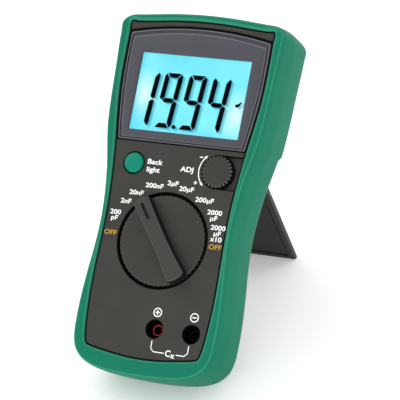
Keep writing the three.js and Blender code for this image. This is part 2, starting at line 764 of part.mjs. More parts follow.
function buildCaseScrews() {
  caseScrews.forEach(([x, y], i) => {
    piece(`case_screw_${i + 1}`, join(
      disc(x, y, 2.7, housingBack + 0.6, housingBack + 2.4, 16),
      disc(x, y, 1.2, housingBack + 1, -5.4, 10),
    ), materials.steel);
  });
}

// ---------------------------------------------------------------- tilt stand

function buildStand() {
  const group = new THREE.Group();
  group.position.set(0, stand.hingeY, stand.hingeZ);
  group.rotation.x = stand.openAngle;
  meter.add(group);
  // In this group the closed stand runs down from the hinge along -y, flat on the back.
  const { halfWidth, length, thickness } = stand;
  const plan = new THREE.Shape([
    new THREE.Vector2(-halfWidth, -length - 4), new THREE.Vector2(halfWidth, -length - 4),
    new THREE.Vector2(halfWidth, -7), new THREE.Vector2(stand.earInner - gap, -3.4),
    new THREE.Vector2(stand.earInner - gap, 0), new THREE.Vector2(-stand.earInner + gap, 0),
    new THREE.Vector2(-stand.earInner + gap, -3.4), new THREE.Vector2(-halfWidth, -7),
  ]);
  const rimWidth = 3;
  const tray = rectangle(-halfWidth + rimWidth, -length + 3, halfWidth - rimWidth, -6, 1);
  const foot = new THREE.BoxGeometry(80, 80, 20);
  foot.translate(0, -40, 0);
  foot.rotateX(lean - stand.openAngle);
  foot.translate(0, -length, 0);
  const inner = stand.earInner - gap;
  piece('tilt_stand', cut(
    join(
      plate(plan, -thickness / 2, thickness / 2),
      crossRod(0, 0, stand.barrelRadius, -inner, inner),
      crossRod(0, 0, stand.pinRadius, -stand.earOuter, stand.earOuter),
    ),
    plate(tray, thickness / 2 - 0.9, thickness),
    foot,
  ), materials.standPlastic, group);
}

// ---------------------------------------------------------------- the whole object

buildHolster();
buildFrontHousing();
buildRearHousing();
buildDisplay();
buildBoard();
buildRangeSwitch();
buildDetentRing();
buildButton();
buildAdjuster();
buildSocket('plus_socket', socket.plusX, materials.redPlastic);
buildSocket('minus_socket', socket.minusX, materials.blackPlastic);
buildFuse();
buildBattery();
buildCaseScrews();
buildStand();

// Lean the meter back and stand it on the bench, centred over the origin.
meter.rotation.x = lean;
meter.updateMatrixWorld(true);
const extent = new THREE.Box3().setFromObject(meter, true);
const centre = extent.getCenter(new THREE.Vector3());
meter.position.set(0, -centre.y, -extent.min.z);

const capacitanceMeter = new THREE.Group();
capacitanceMeter.add(meter);

export default capacitanceMeter;
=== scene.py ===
"""Looks for the capacitance meter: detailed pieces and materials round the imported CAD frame.

Pieces are built in the meter's own frame, in millimetres: x to the right across the face, y up the
face, z out of it, with z = 0 on the printed panel. METER carries that frame to the bench.
"""

import json
import math

import bmesh
import bpy
from mathutils import Matrix, Vector


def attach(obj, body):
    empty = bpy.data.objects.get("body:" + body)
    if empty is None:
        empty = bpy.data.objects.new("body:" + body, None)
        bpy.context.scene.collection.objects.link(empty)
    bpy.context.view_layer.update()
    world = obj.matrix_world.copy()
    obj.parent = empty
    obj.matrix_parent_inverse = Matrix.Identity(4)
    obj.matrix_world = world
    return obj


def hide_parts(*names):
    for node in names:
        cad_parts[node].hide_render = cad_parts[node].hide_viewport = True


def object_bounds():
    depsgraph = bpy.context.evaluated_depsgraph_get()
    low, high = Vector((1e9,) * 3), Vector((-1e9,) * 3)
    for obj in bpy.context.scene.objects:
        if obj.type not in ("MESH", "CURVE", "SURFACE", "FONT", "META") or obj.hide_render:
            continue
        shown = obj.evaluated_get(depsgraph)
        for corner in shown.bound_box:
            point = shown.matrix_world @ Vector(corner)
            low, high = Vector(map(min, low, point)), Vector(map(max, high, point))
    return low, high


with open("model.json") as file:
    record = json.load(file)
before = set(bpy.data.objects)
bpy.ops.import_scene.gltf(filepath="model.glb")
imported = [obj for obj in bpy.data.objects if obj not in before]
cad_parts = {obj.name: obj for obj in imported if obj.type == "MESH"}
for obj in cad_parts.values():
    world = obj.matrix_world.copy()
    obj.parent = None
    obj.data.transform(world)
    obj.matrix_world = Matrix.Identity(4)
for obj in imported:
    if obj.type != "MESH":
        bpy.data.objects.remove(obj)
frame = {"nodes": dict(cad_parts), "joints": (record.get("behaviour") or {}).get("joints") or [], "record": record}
cad_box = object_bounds()

MM = 0.001

# ---- the meter's own frame

JOINTS = {joint["name"]: joint for joint in frame["joints"]}
DIAL_Y = -26.4
RIGHT = Vector((1, 0, 0))
OUT = Vector(JOINTS["range_switch_turn"]["axis"]).normalized()
UP = OUT.cross(RIGHT)
METER = Matrix((RIGHT, UP, OUT)).transposed().to_4x4()
METER.translation = Vector(JOINTS["range_switch_turn"]["pos_m"]) - UP * DIAL_Y * MM
TO_METER = METER.inverted()


def in_meter(point):
    """A point of the bench frame, in metres, as millimetres in the meter's own frame."""
    return TO_METER @ Vector(point) / MM


def corners_of(node):
    return [in_meter(vertex.co) for vertex in frame["nodes"][node].data.vertices]


def span_of(node):
    """Lowest and highest corner of a CAD node in the meter's own frame."""
    points = corners_of(node)
    low = Vector([min(p[i] for p in points) for i in range(3)])
    high = Vector([max(p[i] for p in points) for i in range(3)])
    return low, high


HOLSTER_LOW, HOLSTER_HIGH = span_of("holster")
RIM_TOP = HOLSTER_HIGH.z
RIM_INNER_EDGE = 0.2
RIM_UNDERSIDE = -0.9
WIDEST_LEVEL = -13.0
HOLSTER_BACK = -31.5
HOLSTER_THICK_BACK = HOLSTER_LOW.z
HOLSTER_INSIDE_BACK = -29.3
HOLSTER_WALL = 3.0
HOUSING_OUTSIDE = HOLSTER_WALL + 0.3
HOUSING_INSIDE = 5.3
# The sum of y and z that every point of the bench has, because the meter leans back by 45 degrees.
BENCH_PLANE = in_meter((0, 0, 0)).y + in_meter((0, 0, 0)).z
STEP_LOW_Y, STEP_HIGH_Y = 25.2, 27.4

BEZEL_LOW, BEZEL_HIGH = span_of("display_bezel")
LENS_LOW, LENS_HIGH = span_of("display_lens")
WINDOW_MARGIN = 1.5
WINDOW_HALF = (
    (LENS_HIGH.x - LENS_LOW.x) / 2 - WINDOW_MARGIN,
    (LENS_HIGH.y - LENS_LOW.y) / 2 - WINDOW_MARGIN,
)
WINDOW_Y = (LENS_LOW.y + LENS_HIGH.y) / 2

BUTTON_LOW, BUTTON_HIGH = span_of("backlight_button")
BUTTON = (BUTTON_LOW + BUTTON_HIGH) / 2
BUTTON_HOLE = 5.96
BUTTON_RADIUS = 5.1

ADJUST = in_meter(JOINTS["adjuster_turn"]["pos_m"])
ADJUST_RADIUS = 8.1
ADJUST_TOP = 1.8
RECESS_FLOOR = -2.2
RECESS_HALF = 8.8

WELL_RADIUS = 24.7
DISC_RADIUS = 22.8
GRIP_TOP = 5.6
POINTER_ANGLE = math.radians(126)

SOCKET_Y = -70.3
SOCKETS = {"plus": 4.9, "minus": 24.9}
SOCKET_WELL = 4.9
SOCKET_RIM = -4.7
SOCKET_FLOOR = -14.0


# ---- materials


def new_material(name):
    """A material, its node tree and the shader in that tree."""
    material = bpy.data.materials.new(name)
    material.use_nodes = True
    tree = material.node_tree
    shader = next(node for node in tree.nodes if node.type == "BSDF_PRINCIPLED")
    return material, tree, shader


def coordinate(tree, kind):
    """The Object position or the Normal of the spot being shaded."""
    return tree.nodes.new("ShaderNodeTexCoord").outputs[kind]


def noise(tree, per_metre, detail=4.0, roughness=0.55):
    texture = tree.nodes.new("ShaderNodeTexNoise")
    texture.inputs["Scale"].default_value = per_metre
    texture.inputs["Detail"].default_value = detail
    texture.inputs["Roughness"].default_value = roughness
    tree.links.new(coordinate(tree, "Object"), texture.inputs["Vector"])
    return texture


def spread(tree, source, low, high):
    """A texture's middle range carried to the range from low to high."""
    mapping = tree.nodes.new("ShaderNodeMapRange")
    mapping.inputs["From Min"].default_value = 0.3
    mapping.inputs["From Max"].default_value = 0.7
    mapping.inputs["To Min"].default_value = low
    mapping.inputs["To Max"].default_value = high
    tree.links.new(source, mapping.inputs["Value"])
    return mapping.outputs["Result"]


def shade_between(tree, source, dark, light):
    ramp = tree.nodes.new("ShaderNodeValToRGB")
    ramp.color_ramp.elements[0].position = 0.3
    ramp.color_ramp.elements[0].color = (*dark, 1)
    ramp.color_ramp.elements[1].position = 0.7
    ramp.color_ramp.elements[1].color = (*light, 1)
    tree.links.new(source, ramp.inputs["Fac"])
    return ramp.outputs["Color"]


def scaled(color, amount):
    return tuple(channel * amount for channel in color)


def along_front(tree, source):
    """How far a vector points out of the meter's front."""
    product = tree.nodes.new("ShaderNodeVectorMath")
    product.operation = "DOT_PRODUCT"
    product.inputs[1].default_value = OUT
    tree.links.new(source, product.inputs[0])
    return product.outputs["Value"]


def arris(tree):
    """1 where a surface turns from the front to a side, and 0 on flat faces: the mask of a painted edge highlight.
    """
    ramp = tree.nodes.new("ShaderNodeValToRGB")
    stops = ramp.color_ramp.elements
    stops[0].position, stops[1].position = 0.45, 0.96
    stops[0].color = stops[1].color = (0, 0, 0, 1)
    for position in (0.62, 0.82):
        stops.new(position).color = (1, 1, 1, 1)
    tree.links.new(along_front(tree, coordinate(tree, "Normal")), ramp.inputs["Fac"])
    return ramp.outputs["Color"]


def raised_part(tree, low, high):
    """Rises from 0 to 1 between two levels above the panel, in millimetres: the mask of painted light on raised
    tops.
    """
    mapping = tree.nodes.new("ShaderNodeMapRange")
    base = METER.translation.dot(OUT)
    mapping.inputs["From Min"].default_value = base + low * MM
    mapping.inputs["From Max"].default_value = base + high * MM
    tree.links.new(along_front(tree, coordinate(tree, "Object")), mapping.inputs["Value"])
    return mapping.outputs["Result"]


def mixed(tree, amount, base, other):
    mix = tree.nodes.new("ShaderNodeMix")
    mix.data_type = "RGBA"
    tree.links.new(amount, mix.inputs["Factor"])
    tree.links.new(base, mix.inputs["A"])
    mix.inputs["B"].default_value = (*other, 1)
    return mix.outputs["Result"]


# Levels above the panel between which painted light on raised tops fades in.
PAINTED_LIGHT_STARTS, PAINTED_LIGHT_FULL = 2, 5


def moulded(name, color, roughness, grain=0.35, depth=0.02, variation=0.08, metallic=0.0, specular=0.3,
            painted_edge_highlight=None, painted_top_light=None):
    """Moulded or plated surface: a fine grain of the given size in mm, faint cloudiness, uneven gloss.

    It can carry a painted highlight on the edges that run round its front, and painted light on parts that stand
    high off the panel.
    """
    material, tree, shader = new_material(name)
    cloud = noise(tree, 60, 3)
    fine = noise(tree, 1 / (grain * MM), 3, 0.6)
    tint = shade_between(
        tree, cloud.outputs["Fac"], scaled(color, 1 - variation), scaled(color, 1 + variation)
    )
    # Painted light: parts standing high off the panel are made paler, as if lit more.
    if painted_top_light:
        painted_light_share = raised_part(tree, PAINTED_LIGHT_STARTS, PAINTED_LIGHT_FULL)
        tint = mixed(tree, painted_light_share, tint, painted_top_light)
    # Painted highlight: the edges that run round the front are made paler.
    if painted_edge_highlight:
        tint = mixed(tree, arris(tree), tint, painted_edge_highlight)
    tree.links.new(tint, shader.inputs["Base Color"])
    gloss = spread(tree, fine.outputs["Fac"], roughness - 0.06, roughness + 0.06)
    tree.links.new(gloss, shader.inputs["Roughness"])
    bump = tree.nodes.new("ShaderNodeBump")
    bump.inputs["Strength"].default_value = 0.6
    bump.inputs["Distance"].default_value = depth * MM
    tree.links.new(fine.outputs["Fac"], bump.inputs["Height"])
    tree.links.new(bump.outputs["Normal"], shader.inputs["Normal"])
    shader.inputs["Metallic"].default_value = metallic
    shader.inputs["Specular IOR Level"].default_value = specular
    return material


def clear_glass(name, tint, alpha, roughness=0.03):
    """A thin see-through skin: a share of a tint, and a faintly smeared gloss."""
    material, tree, shader = new_material(name)
    smear = noise(tree, 90, 4)
    tree.links.new(
        spread(tree, smear.outputs["Fac"], roughness, roughness + 0.05), shader.inputs["Roughness"]
    )
    shader.inputs["Base Color"].default_value = (*tint, 1)
    shader.inputs["Alpha"].default_value = alpha
    return material


def lamp_glow(tree, x, y):
    """A patch of light that fades out round a point of the panel."""
    mapping = tree.nodes.new("ShaderNodeMapping")
    mapping.vector_type = "TEXTURE"
    mapping.inputs["Location"].default_value = METER @ Vector((x * MM, y * MM, 0))
    mapping.inputs["Rotation"].default_value = METER.to_euler()
    mapping.inputs["Scale"].default_value = (11 * MM, 17 * MM, 1)
    gradient = tree.nodes.new("ShaderNodeTexGradient")
    gradient.gradient_type = "QUADRATIC_SPHERE"
    tree.links.new(coordinate(tree, "Object"), mapping.inputs["Vector"])
    tree.links.new(mapping.outputs["Vector"], gradient.inputs["Vector"])
    return gradient.outputs["Fac"]


def lit_display(name):
    """Back-lit panel: uneven blue, with a paler patch in front of each of the two lamps."""
    material, tree, shader = new_material(name)
    glow = tree.nodes.new("ShaderNodeMath")
    glow.operation = "ADD"
    glow.use_clamp = True
    for socket, (x, y) in zip(glow.inputs, [(-26, WINDOW_Y - 1), (26, WINDOW_Y - 8)]):
        tree.links.new(lamp_glow(tree, x, y), socket)
    patches = noise(tree, 45, 2)
    cyan = shade_between(tree, patches.outputs["Fac"], (0.11, 0.78, 0.98), (0.22, 0.94, 1.05))
    lit = mixed(tree, glow.outputs["Value"], cyan, (0.85, 1.06, 1.04))
    tree.links.new(lit, shader.inputs["Emission Color"])
    shader.inputs["Emission Strength"].default_value = 0.9
    shader.inputs["Base Color"].default_value = (0.05, 0.12, 0.14, 1)
    shader.inputs["Roughness"].default_value = 0.4
    return material


GREEN = (0.010, 0.164, 0.098)
STAND_GREY = (0.025, 0.025, 0.022)
MATERIALS = {
    # Painted highlight: a paler green on the holster's rounded edges.
    "green_rubber": lambda name: moulded(
        name, GREEN, 0.42, 0.3, 0.012, 0.04, 0, 0.03, painted_edge_highlight=(0.03, 0.24, 0.15)
    ),
    "dark_panel": lambda name: moulded(name, (0.036, 0.036, 0.031), 0.6, 0.35, 0.03, 0.08, 0, 0.2),
    "bezel_plastic": lambda name: moulded(name, (0.062, 0.062, 0.075), 0.45, 0.5, 0.006, 0.05, 0, 0.2),
    "clear_lens": lambda name: clear_glass(name, (0.02, 0.03, 0.03), 0.03),
    "lcd_glass": lit_display,
    "diffuser": lambda name: moulded(name, (0.85, 0.9, 0.92), 0.4),
    "white_plastic": lambda name: moulded(name, (0.72, 0.7, 0.63), 0.5),
    "elastomer": lambda name: moulded(name, (0.6, 0.28, 0.38), 0.7),
    "led_white": lambda name: moulded(name, (0.9, 0.9, 0.8), 0.3),
    "board_green": lambda name: moulded(name, (0.02, 0.14, 0.05), 0.35, 0.8),
    "chip_black": lambda name: moulded(name, (0.012, 0.012, 0.012), 0.3, 0.6),
    "capacitor_sleeve": lambda name: moulded(name, (0.02, 0.03, 0.08), 0.35),
    "steel": lambda name: moulded(name, (0.6, 0.61, 0.62), 0.28, 0.25, 0.004, 0.05, 1.0),
    # Painted highlight on the knobs' rounded edges, and painted light on the grip's raised top.
    "knob_plastic": lambda name: moulded(
        name, (0.032, 0.032, 0.028), 0.55, 0.3, 0.025, 0.08, 0, 0.2,
        painted_edge_highlight=(0.075, 0.075, 0.069), painted_top_light=(0.040, 0.040, 0.036),
    ),
    # Painted shade: near-black flanks of the grip and the adjuster, standing in for the shade on their sides.
    "knob_painted_shade": lambda name: moulded(name, (0.011, 0.011, 0.010), 0.6, 0.3, 0.02, 0.08, 0, 0.1),
    "pot_blue": lambda name: moulded(name, (0.04, 0.12, 0.35), 0.45),
    "button_green": lambda name: moulded(name, (0.002, 0.205, 0.135), 0.4, 0.4, 0.006, 0.04, 0, 0.15),
    "black_plastic": lambda name: moulded(name, (0.002, 0.002, 0.002), 0.6, 0.35, 0.02, 0.08, 0, 0.1),
    "red_plastic": lambda name: moulded(name, (0.3, 0.012, 0.014), 0.35),
    "brass": lambda name: moulded(name, (0.72, 0.5, 0.2), 0.28, 0.25, 0.004, 0.06, 1.0),
    "fuse_glass": lambda name: clear_glass(name, (0.95, 1.0, 1.0), 0.3),
    "battery_jacket": lambda name: moulded(name, (0.03, 0.07, 0.2), 0.35),
    "stand_plastic": lambda name: moulded(name, STAND_GREY, 0.5, 0.3, 0.025, 0.08, 0, 0.2),
    "stand_inlay": lambda name: moulded(name, STAND_GREY, 0.6, 0.5, 0.05, 0.1, 0, 0.2),
    "white_print": lambda name: moulded(name, (0.95, 0.95, 0.94), 0.5, 0.2, 0.002, 0.03),
    "orange_print": lambda name: moulded(name, (0.52, 0.26, 0.015), 0.5, 0.2, 0.002, 0.03),
    "digit_black": lambda name: moulded(name, (0.001, 0.0015, 0.003), 0.6, 0.4, 0.002, 0.1, 0, 0.0),
    "digit_shade": lambda name: clear_glass(name, (0.0, 0.2, 0.32), 0.09, 0.6),
    # Painted highlight: the pale bands on the bezel's arrises.
    "bezel_painted_highlight": lambda name: moulded(name, (0.14, 0.14, 0.16), 0.3, 0.5, 0.004, 0.05),
}
made_materials = {}


def material_named(name):
    if name not in made_materials:
        made_materials[name] = MATERIALS[name](name)
    return made_materials[name]


# ---- mesh building


def smooth_closed(points, steps=6):
    """A closed Catmull-Rom curve through points, with the given number of steps from each to the next."""
    count = len(points)
    curve = []
    for i in range(count):
        before, start, end, after = (Vector(points[(i + k) % count]) for k in (-1, 0, 1, 2))
        for step in range(steps):
            t = step / steps
            straight = 2 * start + (end - before) * t
            bend = (2 * before - 5 * start + 4 * end - after) * t * t
            twist = (3 * start - before - 3 * end + after) * t**3
            curve.append(0.5 * (straight + bend + twist))
    return curve


def moved_in(outline, distance, at_bottom=None):
    """An anticlockwise outline moved inwards, by a distance of its own where it faces down."""
    at_bottom = distance if at_bottom is None else at_bottom
    count = len(outline)
    result = []
    for i, point in enumerate(outline):
        along = (outline[(i + 1) % count] - outline[i - 1]).normalized()
        share = max(along.x, 0) ** 2
        move = distance + (at_bottom - distance) * share
        result.append(Vector((point.x - along.y * move, point.y + along.x * move)))
    return result


def polar(x, y, radius, angle):
    """The point at a radius and an angle about a centre."""
    return Vector((x + radius * math.cos(angle), y + radius * math.sin(angle)))


def circle(x, y, radius, sides=72):
    turn = 2 * math.pi / sides
    return [polar(x, y, radius, i * turn) for i in range(sides)]


def rounded_rectangle(left, bottom, right, top, radius, steps=6):
    centres = [
        (right - radius, bottom + radius, -90),
        (right - radius, top - radius, 0),
        (left + radius, top - radius, 90),
        (left + radius, bottom + radius, 180),
    ]
    points = []
    for x, y, start in centres:
        for step in range(steps + 1):
            points.append(polar(x, y, radius, math.radians(start + 90 * step / steps)))
    return points


def fillet(outline, reach=0.8):
    """Rounds the outline's corners and leaves its straight runs alone."""
    count = len(outline)
    result = []
    for i, point in enumerate(outline):
        before, after = outline[i - 1], outline[(i + 1) % count]
        a, b = (point - before).normalized(), (after - point).normalized()
        if a.dot(b) > 0.9:
            result.append(point)
            continue
        start, end = point - a * reach, point + b * reach
        for step in range(6):
            t = step / 5
            result.append((1 - t) ** 2 * start + 2 * t * (1 - t) * point + t * t * end)
    return result


def at_level(outline, z):
    return [Vector((p.x, p.y, z)) for p in outline]


def skin(rings, closed=False):
    """A mesh through rings of equal point count: capped at both ends, or joined end to end."""
    bm = bmesh.new()
    rows = [[bm.verts.new(point) for point in ring] for ring in rings]
    count = len(rings[0])
    pairs = list(zip(rows, rows[1:]))
    if closed:
        pairs.append((rows[-1], rows[0]))
    for low, high in pairs:
        for i in range(count):
            following = (i + 1) % count
            bm.faces.new((low[i], low[following], high[following], high[i]))
    if not closed:
        bm.faces.new(list(reversed(rows[0])))
        bm.faces.new(rows[-1])
    bmesh.ops.recalc_face_normals(bm, faces=bm.faces)
    return bm


def stack(*levels):
    """A capped skin through (outline, z) levels."""
    return skin([at_level(outline, z) for outline, z in levels])


def prism(outline, low, high, edge=0.0):
    """An upright plate whose top edge is rounded by the given radius."""
    if edge == 0:
        return stack((outline, low), (outline, high))
    levels = [(outline, low)]
    for step in range(5):
        angle = math.radians(22.5 * step)
        narrower = moved_in(outline, edge * (1 - math.cos(angle)))
        levels.append((narrower, high - edge + edge * math.sin(angle)))
    return stack(*levels)


def disc(x, y, radius, low, high, sides=72):
    return prism(circle(x, y, radius, sides), low, high)


def turned(profile, x, y, sides=72):
    """A solid of revolution about a line out of the face, from (radius, z) points ending on the line."""
    bm = bmesh.new()
    rows = []
    for radius, z in profile:
        if radius == 0:
            rows.append([bm.verts.new((x, y, z))])
        else:
            rows.append([bm.verts.new(p) for p in at_level(circle(x, y, radius, sides), z)])
    for low, high in zip(rows, rows[1:]):
        for i in range(sides):
            j = (i + 1) % sides
            if len(low) == 1:
                bm.faces.new((low[0], high[j], high[i]))
            elif len(high) == 1:
                bm.faces.new((low[i], low[j], high[0]))
            else:
                bm.faces.new((low[i], low[j], high[j], high[i]))
    bmesh.ops.recalc_face_normals(bm, faces=bm.faces)
    return bm


def tube(x, y, inner, outer, low, high, sides=72):
    """A tube with a rounded rim, as a closed skin."""
    edge = 0.15
    profile = [
        (outer, low), (outer, high - edge), (outer - edge, high),
        (inner + edge, high), (inner, high - edge), (inner, low),
    ]
    return skin([at_level(circle(x, y, radius, sides), z) for radius, z in profile], closed=True)


def mesh_of(name, bm):
    mesh = bpy.data.meshes.new(name)
    bm.to_mesh(mesh)
    bm.free()
    return mesh


def placed(name, data):
    """A new object in the scene for a mesh, lamp, camera or line of lettering."""
    made = bpy.data.objects.new(name, data)
    bpy.context.scene.collection.objects.link(made)
    return made


def baked(source):
    """The shape that an object ends up with, its modifiers or lettering included."""
    evaluated = source.evaluated_get(bpy.context.evaluated_depsgraph_get())
    result = bmesh.new()
    result.from_mesh(evaluated.to_mesh())
    evaluated.to_mesh_clear()
    return result


def combined(operation, base, tools):
    """The base mesh joined with, cut by or kept inside each tool in turn."""
    body = placed("working", mesh_of("working", base))
    others = [placed("working", mesh_of("working", tool)) for tool in tools]
    for other in others:
        modifier = body.modifiers.new("combine", "BOOLEAN")
        modifier.operation = operation
        modifier.solver = "EXACT"
        modifier.object = other
    result = baked(body)
    for done in [body, *others]:
        bpy.data.objects.remove(done)
    return result


def together(*parts):
    """Separate closed shells kept in one mesh."""
    whole = bmesh.new()
    for part in parts:
        mesh = mesh_of("part", part)
        whole.from_mesh(mesh)
        bpy.data.meshes.remove(mesh)
    return whole


def add_piece(name, bm, finish, body="meter_body", stands_for=(), sharp=35, edge=0.0,
              place=METER):
    """Puts a mesh built in millimetres in place, rounds its sharp edges and has it ride on a body."""
    mesh = mesh_of(name, bm)
    mesh.transform(place @ Matrix.Scale(MM, 4))
    mesh.shade_smooth()
    mesh.set_sharp_from_angle(angle=math.radians(sharp))
    mesh.materials.clear()
    mesh.materials.append(material_named(finish))
    made = placed(name, mesh)
    soften(made, edge, sharp)
    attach(made, body)
    if stands_for:
        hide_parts(*stands_for)
    return made


def soften(target, edge, angle=35):
    if edge > 0:
        bevel = target.modifiers.new("rounded edges", "BEVEL")
        bevel.width = edge * MM
        bevel.segments = 2
        bevel.limit_method = "ANGLE"
        bevel.angle_limit = math.radians(angle)
        bevel.use_clamp_overlap = True
        bevel.harden_normals = True


# ---- outlines, from the CAD frame


def ring_at(node, level, tolerance=0.03):
    """A CAD node's corners at one level above the panel, in order round the meter."""
    found = {(round(p.x, 2), round(p.y, 2)) for p in corners_of(node) if abs(p.z - level) < tolerance}
    return [Vector(p) for p in sorted(found, key=lambda p: math.atan2(p[1], p[0]))]


# Where the CAD cuts the holster's top corners straight, and how far they are filled out again.
TOP_CORNER = Vector((43.0, 86.8))
CORNER_FULLNESS = 1.25
REACH_ALONG_TOP, REACH_DOWN_SIDE = 15.0, 5.5


def fuller_corners(outline):
    """The outline with both of its top corners swelling into a full round."""
    result = []
    for i, point in enumerate(outline):
        along = (outline[(i + 1) % len(outline)] - outline[i - 1]).normalized()
        across = (abs(point.x) - TOP_CORNER.x) / REACH_ALONG_TOP
        down = (point.y - TOP_CORNER.y) / REACH_DOWN_SIDE
        swell = CORNER_FULLNESS * math.exp(-across * across - down * down)
        result.append(Vector((point.x + along.y * swell, point.y - along.x * swell)))
    return result


WIDEST = fuller_corners(smooth_closed(ring_at("holster", WIDEST_LEVEL)))
OPENING = smooth_closed(ring_at("holster", RIM_INNER_EDGE))
BACK_WINDOW = rounded_rectangle(-31, -72, 31, 30.5, 3)


def right_half(outline):
    """An outline's right side from the bottom centre to the top centre."""
    side = [p for p in outline if p.x > 1e-6]
    side.sort(key=lambda p: math.atan2(p.y, p.x))
    low = min(outline, key=lambda p: (p.y, abs(p.x))).y
    high = max(outline, key=lambda p: (p.y, -abs(p.x))).y
    return [Vector((0, low)), *side, Vector((0, high))]


def spaced(points, count):
    """Points at equal distances along a line, both ends included."""
    lengths = [0.0]
    for a, b in zip(points, points[1:]):
        lengths.append(lengths[-1] + (b - a).length)
    result = []
    k = 0
    for i in range(count + 1):
        target = lengths[-1] * i / count
        while k < len(points) - 2 and lengths[k + 1] < target:
            k += 1
        step = lengths[k + 1] - lengths[k]
        share = 0 if step == 0 else (target - lengths[k]) / step
        result.append(points[k].lerp(points[k + 1], min(max(share, 0), 1)))
    return result


SIDE_LOW_Y = -66.0
SIDE_LEVELS = [SIDE_LOW_Y + 2.4 * i for i in range(38)]
STEP_LEVELS = [STEP_LOW_Y + (STEP_HIGH_Y - STEP_LOW_Y) * i / 6 for i in range(7)]
SIDE_YS = [y for y in SIDE_LEVELS if y < STEP_LOW_Y - 1] + STEP_LEVELS
LOWER_POINTS, UPPER_POINTS = 60, 84


def crossing(points, y):
    """Where a side line that climbs passes the height y."""
    for a, b in zip(points, points[1:]):
        if a.y <= y <= b.y and b.y > a.y:
            return a.lerp(b, (y - a.y) / (b.y - a.y))
    return points[-1].copy()


def sectioned(outline):
    """The outline as points that match, one for one, those of every other outline of the holster."""
    half = right_half(outline)
    low_end, high_end = crossing(half, SIDE_YS[0]), crossing(half, SIDE_YS[-1])
    lower = spaced([p for p in half if p.y < low_end.y] + [low_end], LOWER_POINTS)
    upper = spaced([high_end] + [p for p in half if p.y > high_end.y], UPPER_POINTS)
    middle = [crossing(half, y) for y in SIDE_YS]
    right = lower + middle[1:-1] + upper
    left = [Vector((-p.x, p.y)) for p in reversed(right[1:-1])]
    return right + left


# ---- holster


def back_level(y, base):
    """The back drops to its thicker part over a short slope."""
    t = min(max((y - STEP_LOW_Y) / (STEP_HIGH_Y - STEP_LOW_Y), 0), 1)
    return base + (HOLSTER_THICK_BACK - HOLSTER_BACK) * t


def holster_ring(outline, z, from_back=False):
    """An outline at a level or, from the back, at one that follows the slope to the thicker part."""
    return [Vector((p.x, p.y, back_level(p.y, z) if from_back else z)) for p in outline]


def rounded_run(rings, rounds=2):
    """Cuts the corners of a run of rings, keeping the first and the last."""
    for _ in range(rounds):
        softer = [rings[0]]
        for a, b in zip(rings, rings[1:]):
            softer.append([p.lerp(q, 0.25) for p, q in zip(a, b)])
            softer.append([p.lerp(q, 0.75) for p, q in zip(a, b)])
        softer.append(rings[-1])
        rings = softer
    return rings


def build_holster():
    def outer(side, bottom=None):
        return sectioned(moved_in(WIDEST, side, bottom))

    def opening(move):
        return sectioned(moved_in(OPENING, move))

    window = sectioned(BACK_WINDOW)
    cavity = outer(HOLSTER_WALL)
    rim_and_sides = [
        (opening(0), RIM_UNDERSIDE + 0.2),
        (opening(0), RIM_INNER_EDGE - 0.2),
        (opening(-0.15), RIM_INNER_EDGE + 0.05),
        (opening(-1.3), RIM_TOP - 0.25),
        (outer(3, 1.8), RIM_TOP - 0.02),
        (outer(2.1, 1), 0.7),
        (outer(1.5, 0.5), -0.5),
        (outer(1, 0.3), -2.6),
        (outer(0.45, 0.1), -8),
        (outer(0), WIDEST_LEVEL),
        (outer(0.3), -20),
        (outer(0.55), HOLSTER_BACK + 6),
        (outer(1), HOLSTER_BACK + 3.2, True),
        (outer(2.2), HOLSTER_BACK + 1.3, True),
        (outer(5.1), HOLSTER_BACK, True),
        (outer(8), HOLSTER_BACK, True),
    ]
    inside = [
        (sectioned(moved_in(BACK_WINDOW, -0.5)), HOLSTER_BACK, True),
        (window, HOLSTER_BACK + 0.4, True),
        (window, HOLSTER_INSIDE_BACK),
        (cavity, HOLSTER_INSIDE_BACK),
        (cavity, RIM_UNDERSIDE),
        (opening(0), RIM_UNDERSIDE),
    ]
    rings = rounded_run([holster_ring(*row) for row in rim_and_sides])
    rings += [holster_ring(*row) for row in inside]
    # What would reach below the bench is pressed flat on it.
    for ring in rings:
        for point in ring:
            below = BENCH_PLANE - (point.y + point.z)
            if below > 0:
                point.y += below / 2
                point.z += below / 2
    add_piece("rubber_holster", skin(rings, closed=True), "green_rubber", stands_for=["holster"],
              sharp=50)


# ---- front housing


PANEL = moved_in(OPENING, 0.95)
BEZEL_GAP = 0.4


def bezel_outline(side, top=None, bottom=None):
    """The display bezel's outline, moved in by its own distance at the sides, top and bottom."""
    top = side if top is None else top
    bottom = side if bottom is None else bottom
    low, crown, rise = BEZEL_LOW.y + bottom, BEZEL_HIGH.y - top, 4.1
    half = right_half(OPENING)
    right = []
    for i in range(24):
        y = low + (crown - rise - low) * i / 23
        right.append(Vector((crossing(half, y).x - 1 - side, y)))
    reach = right[-1].x
    arch = [Vector((reach * k / 20, crown - rise * (k / 20) ** 2)) for k in range(19, -20, -1)]
    left = [Vector((-p.x, p.y)) for p in reversed(right)]
    return fillet(right + arch + left)


def window_outline(margin, radius=0.6):
    half_width, half_height = WINDOW_HALF
    return rounded_rectangle(
        -half_width - margin, WINDOW_Y - half_height - margin,
        half_width + margin, WINDOW_Y + half_height + margin, radius,
    )


def recess_outline():
    """The adjuster's recess: round on the left, and open past the panel's side."""
    angles = [math.radians(90 + 180 * i / 36) for i in range(37)]
    arc = [polar(ADJUST.x, ADJUST.y, RECESS_HALF, angle) for angle in angles]
    past_side = 45
    return arc + [Vector((past_side, ADJUST.y - RECESS_HALF)), Vector((past_side, ADJUST.y + RECESS_HALF))]


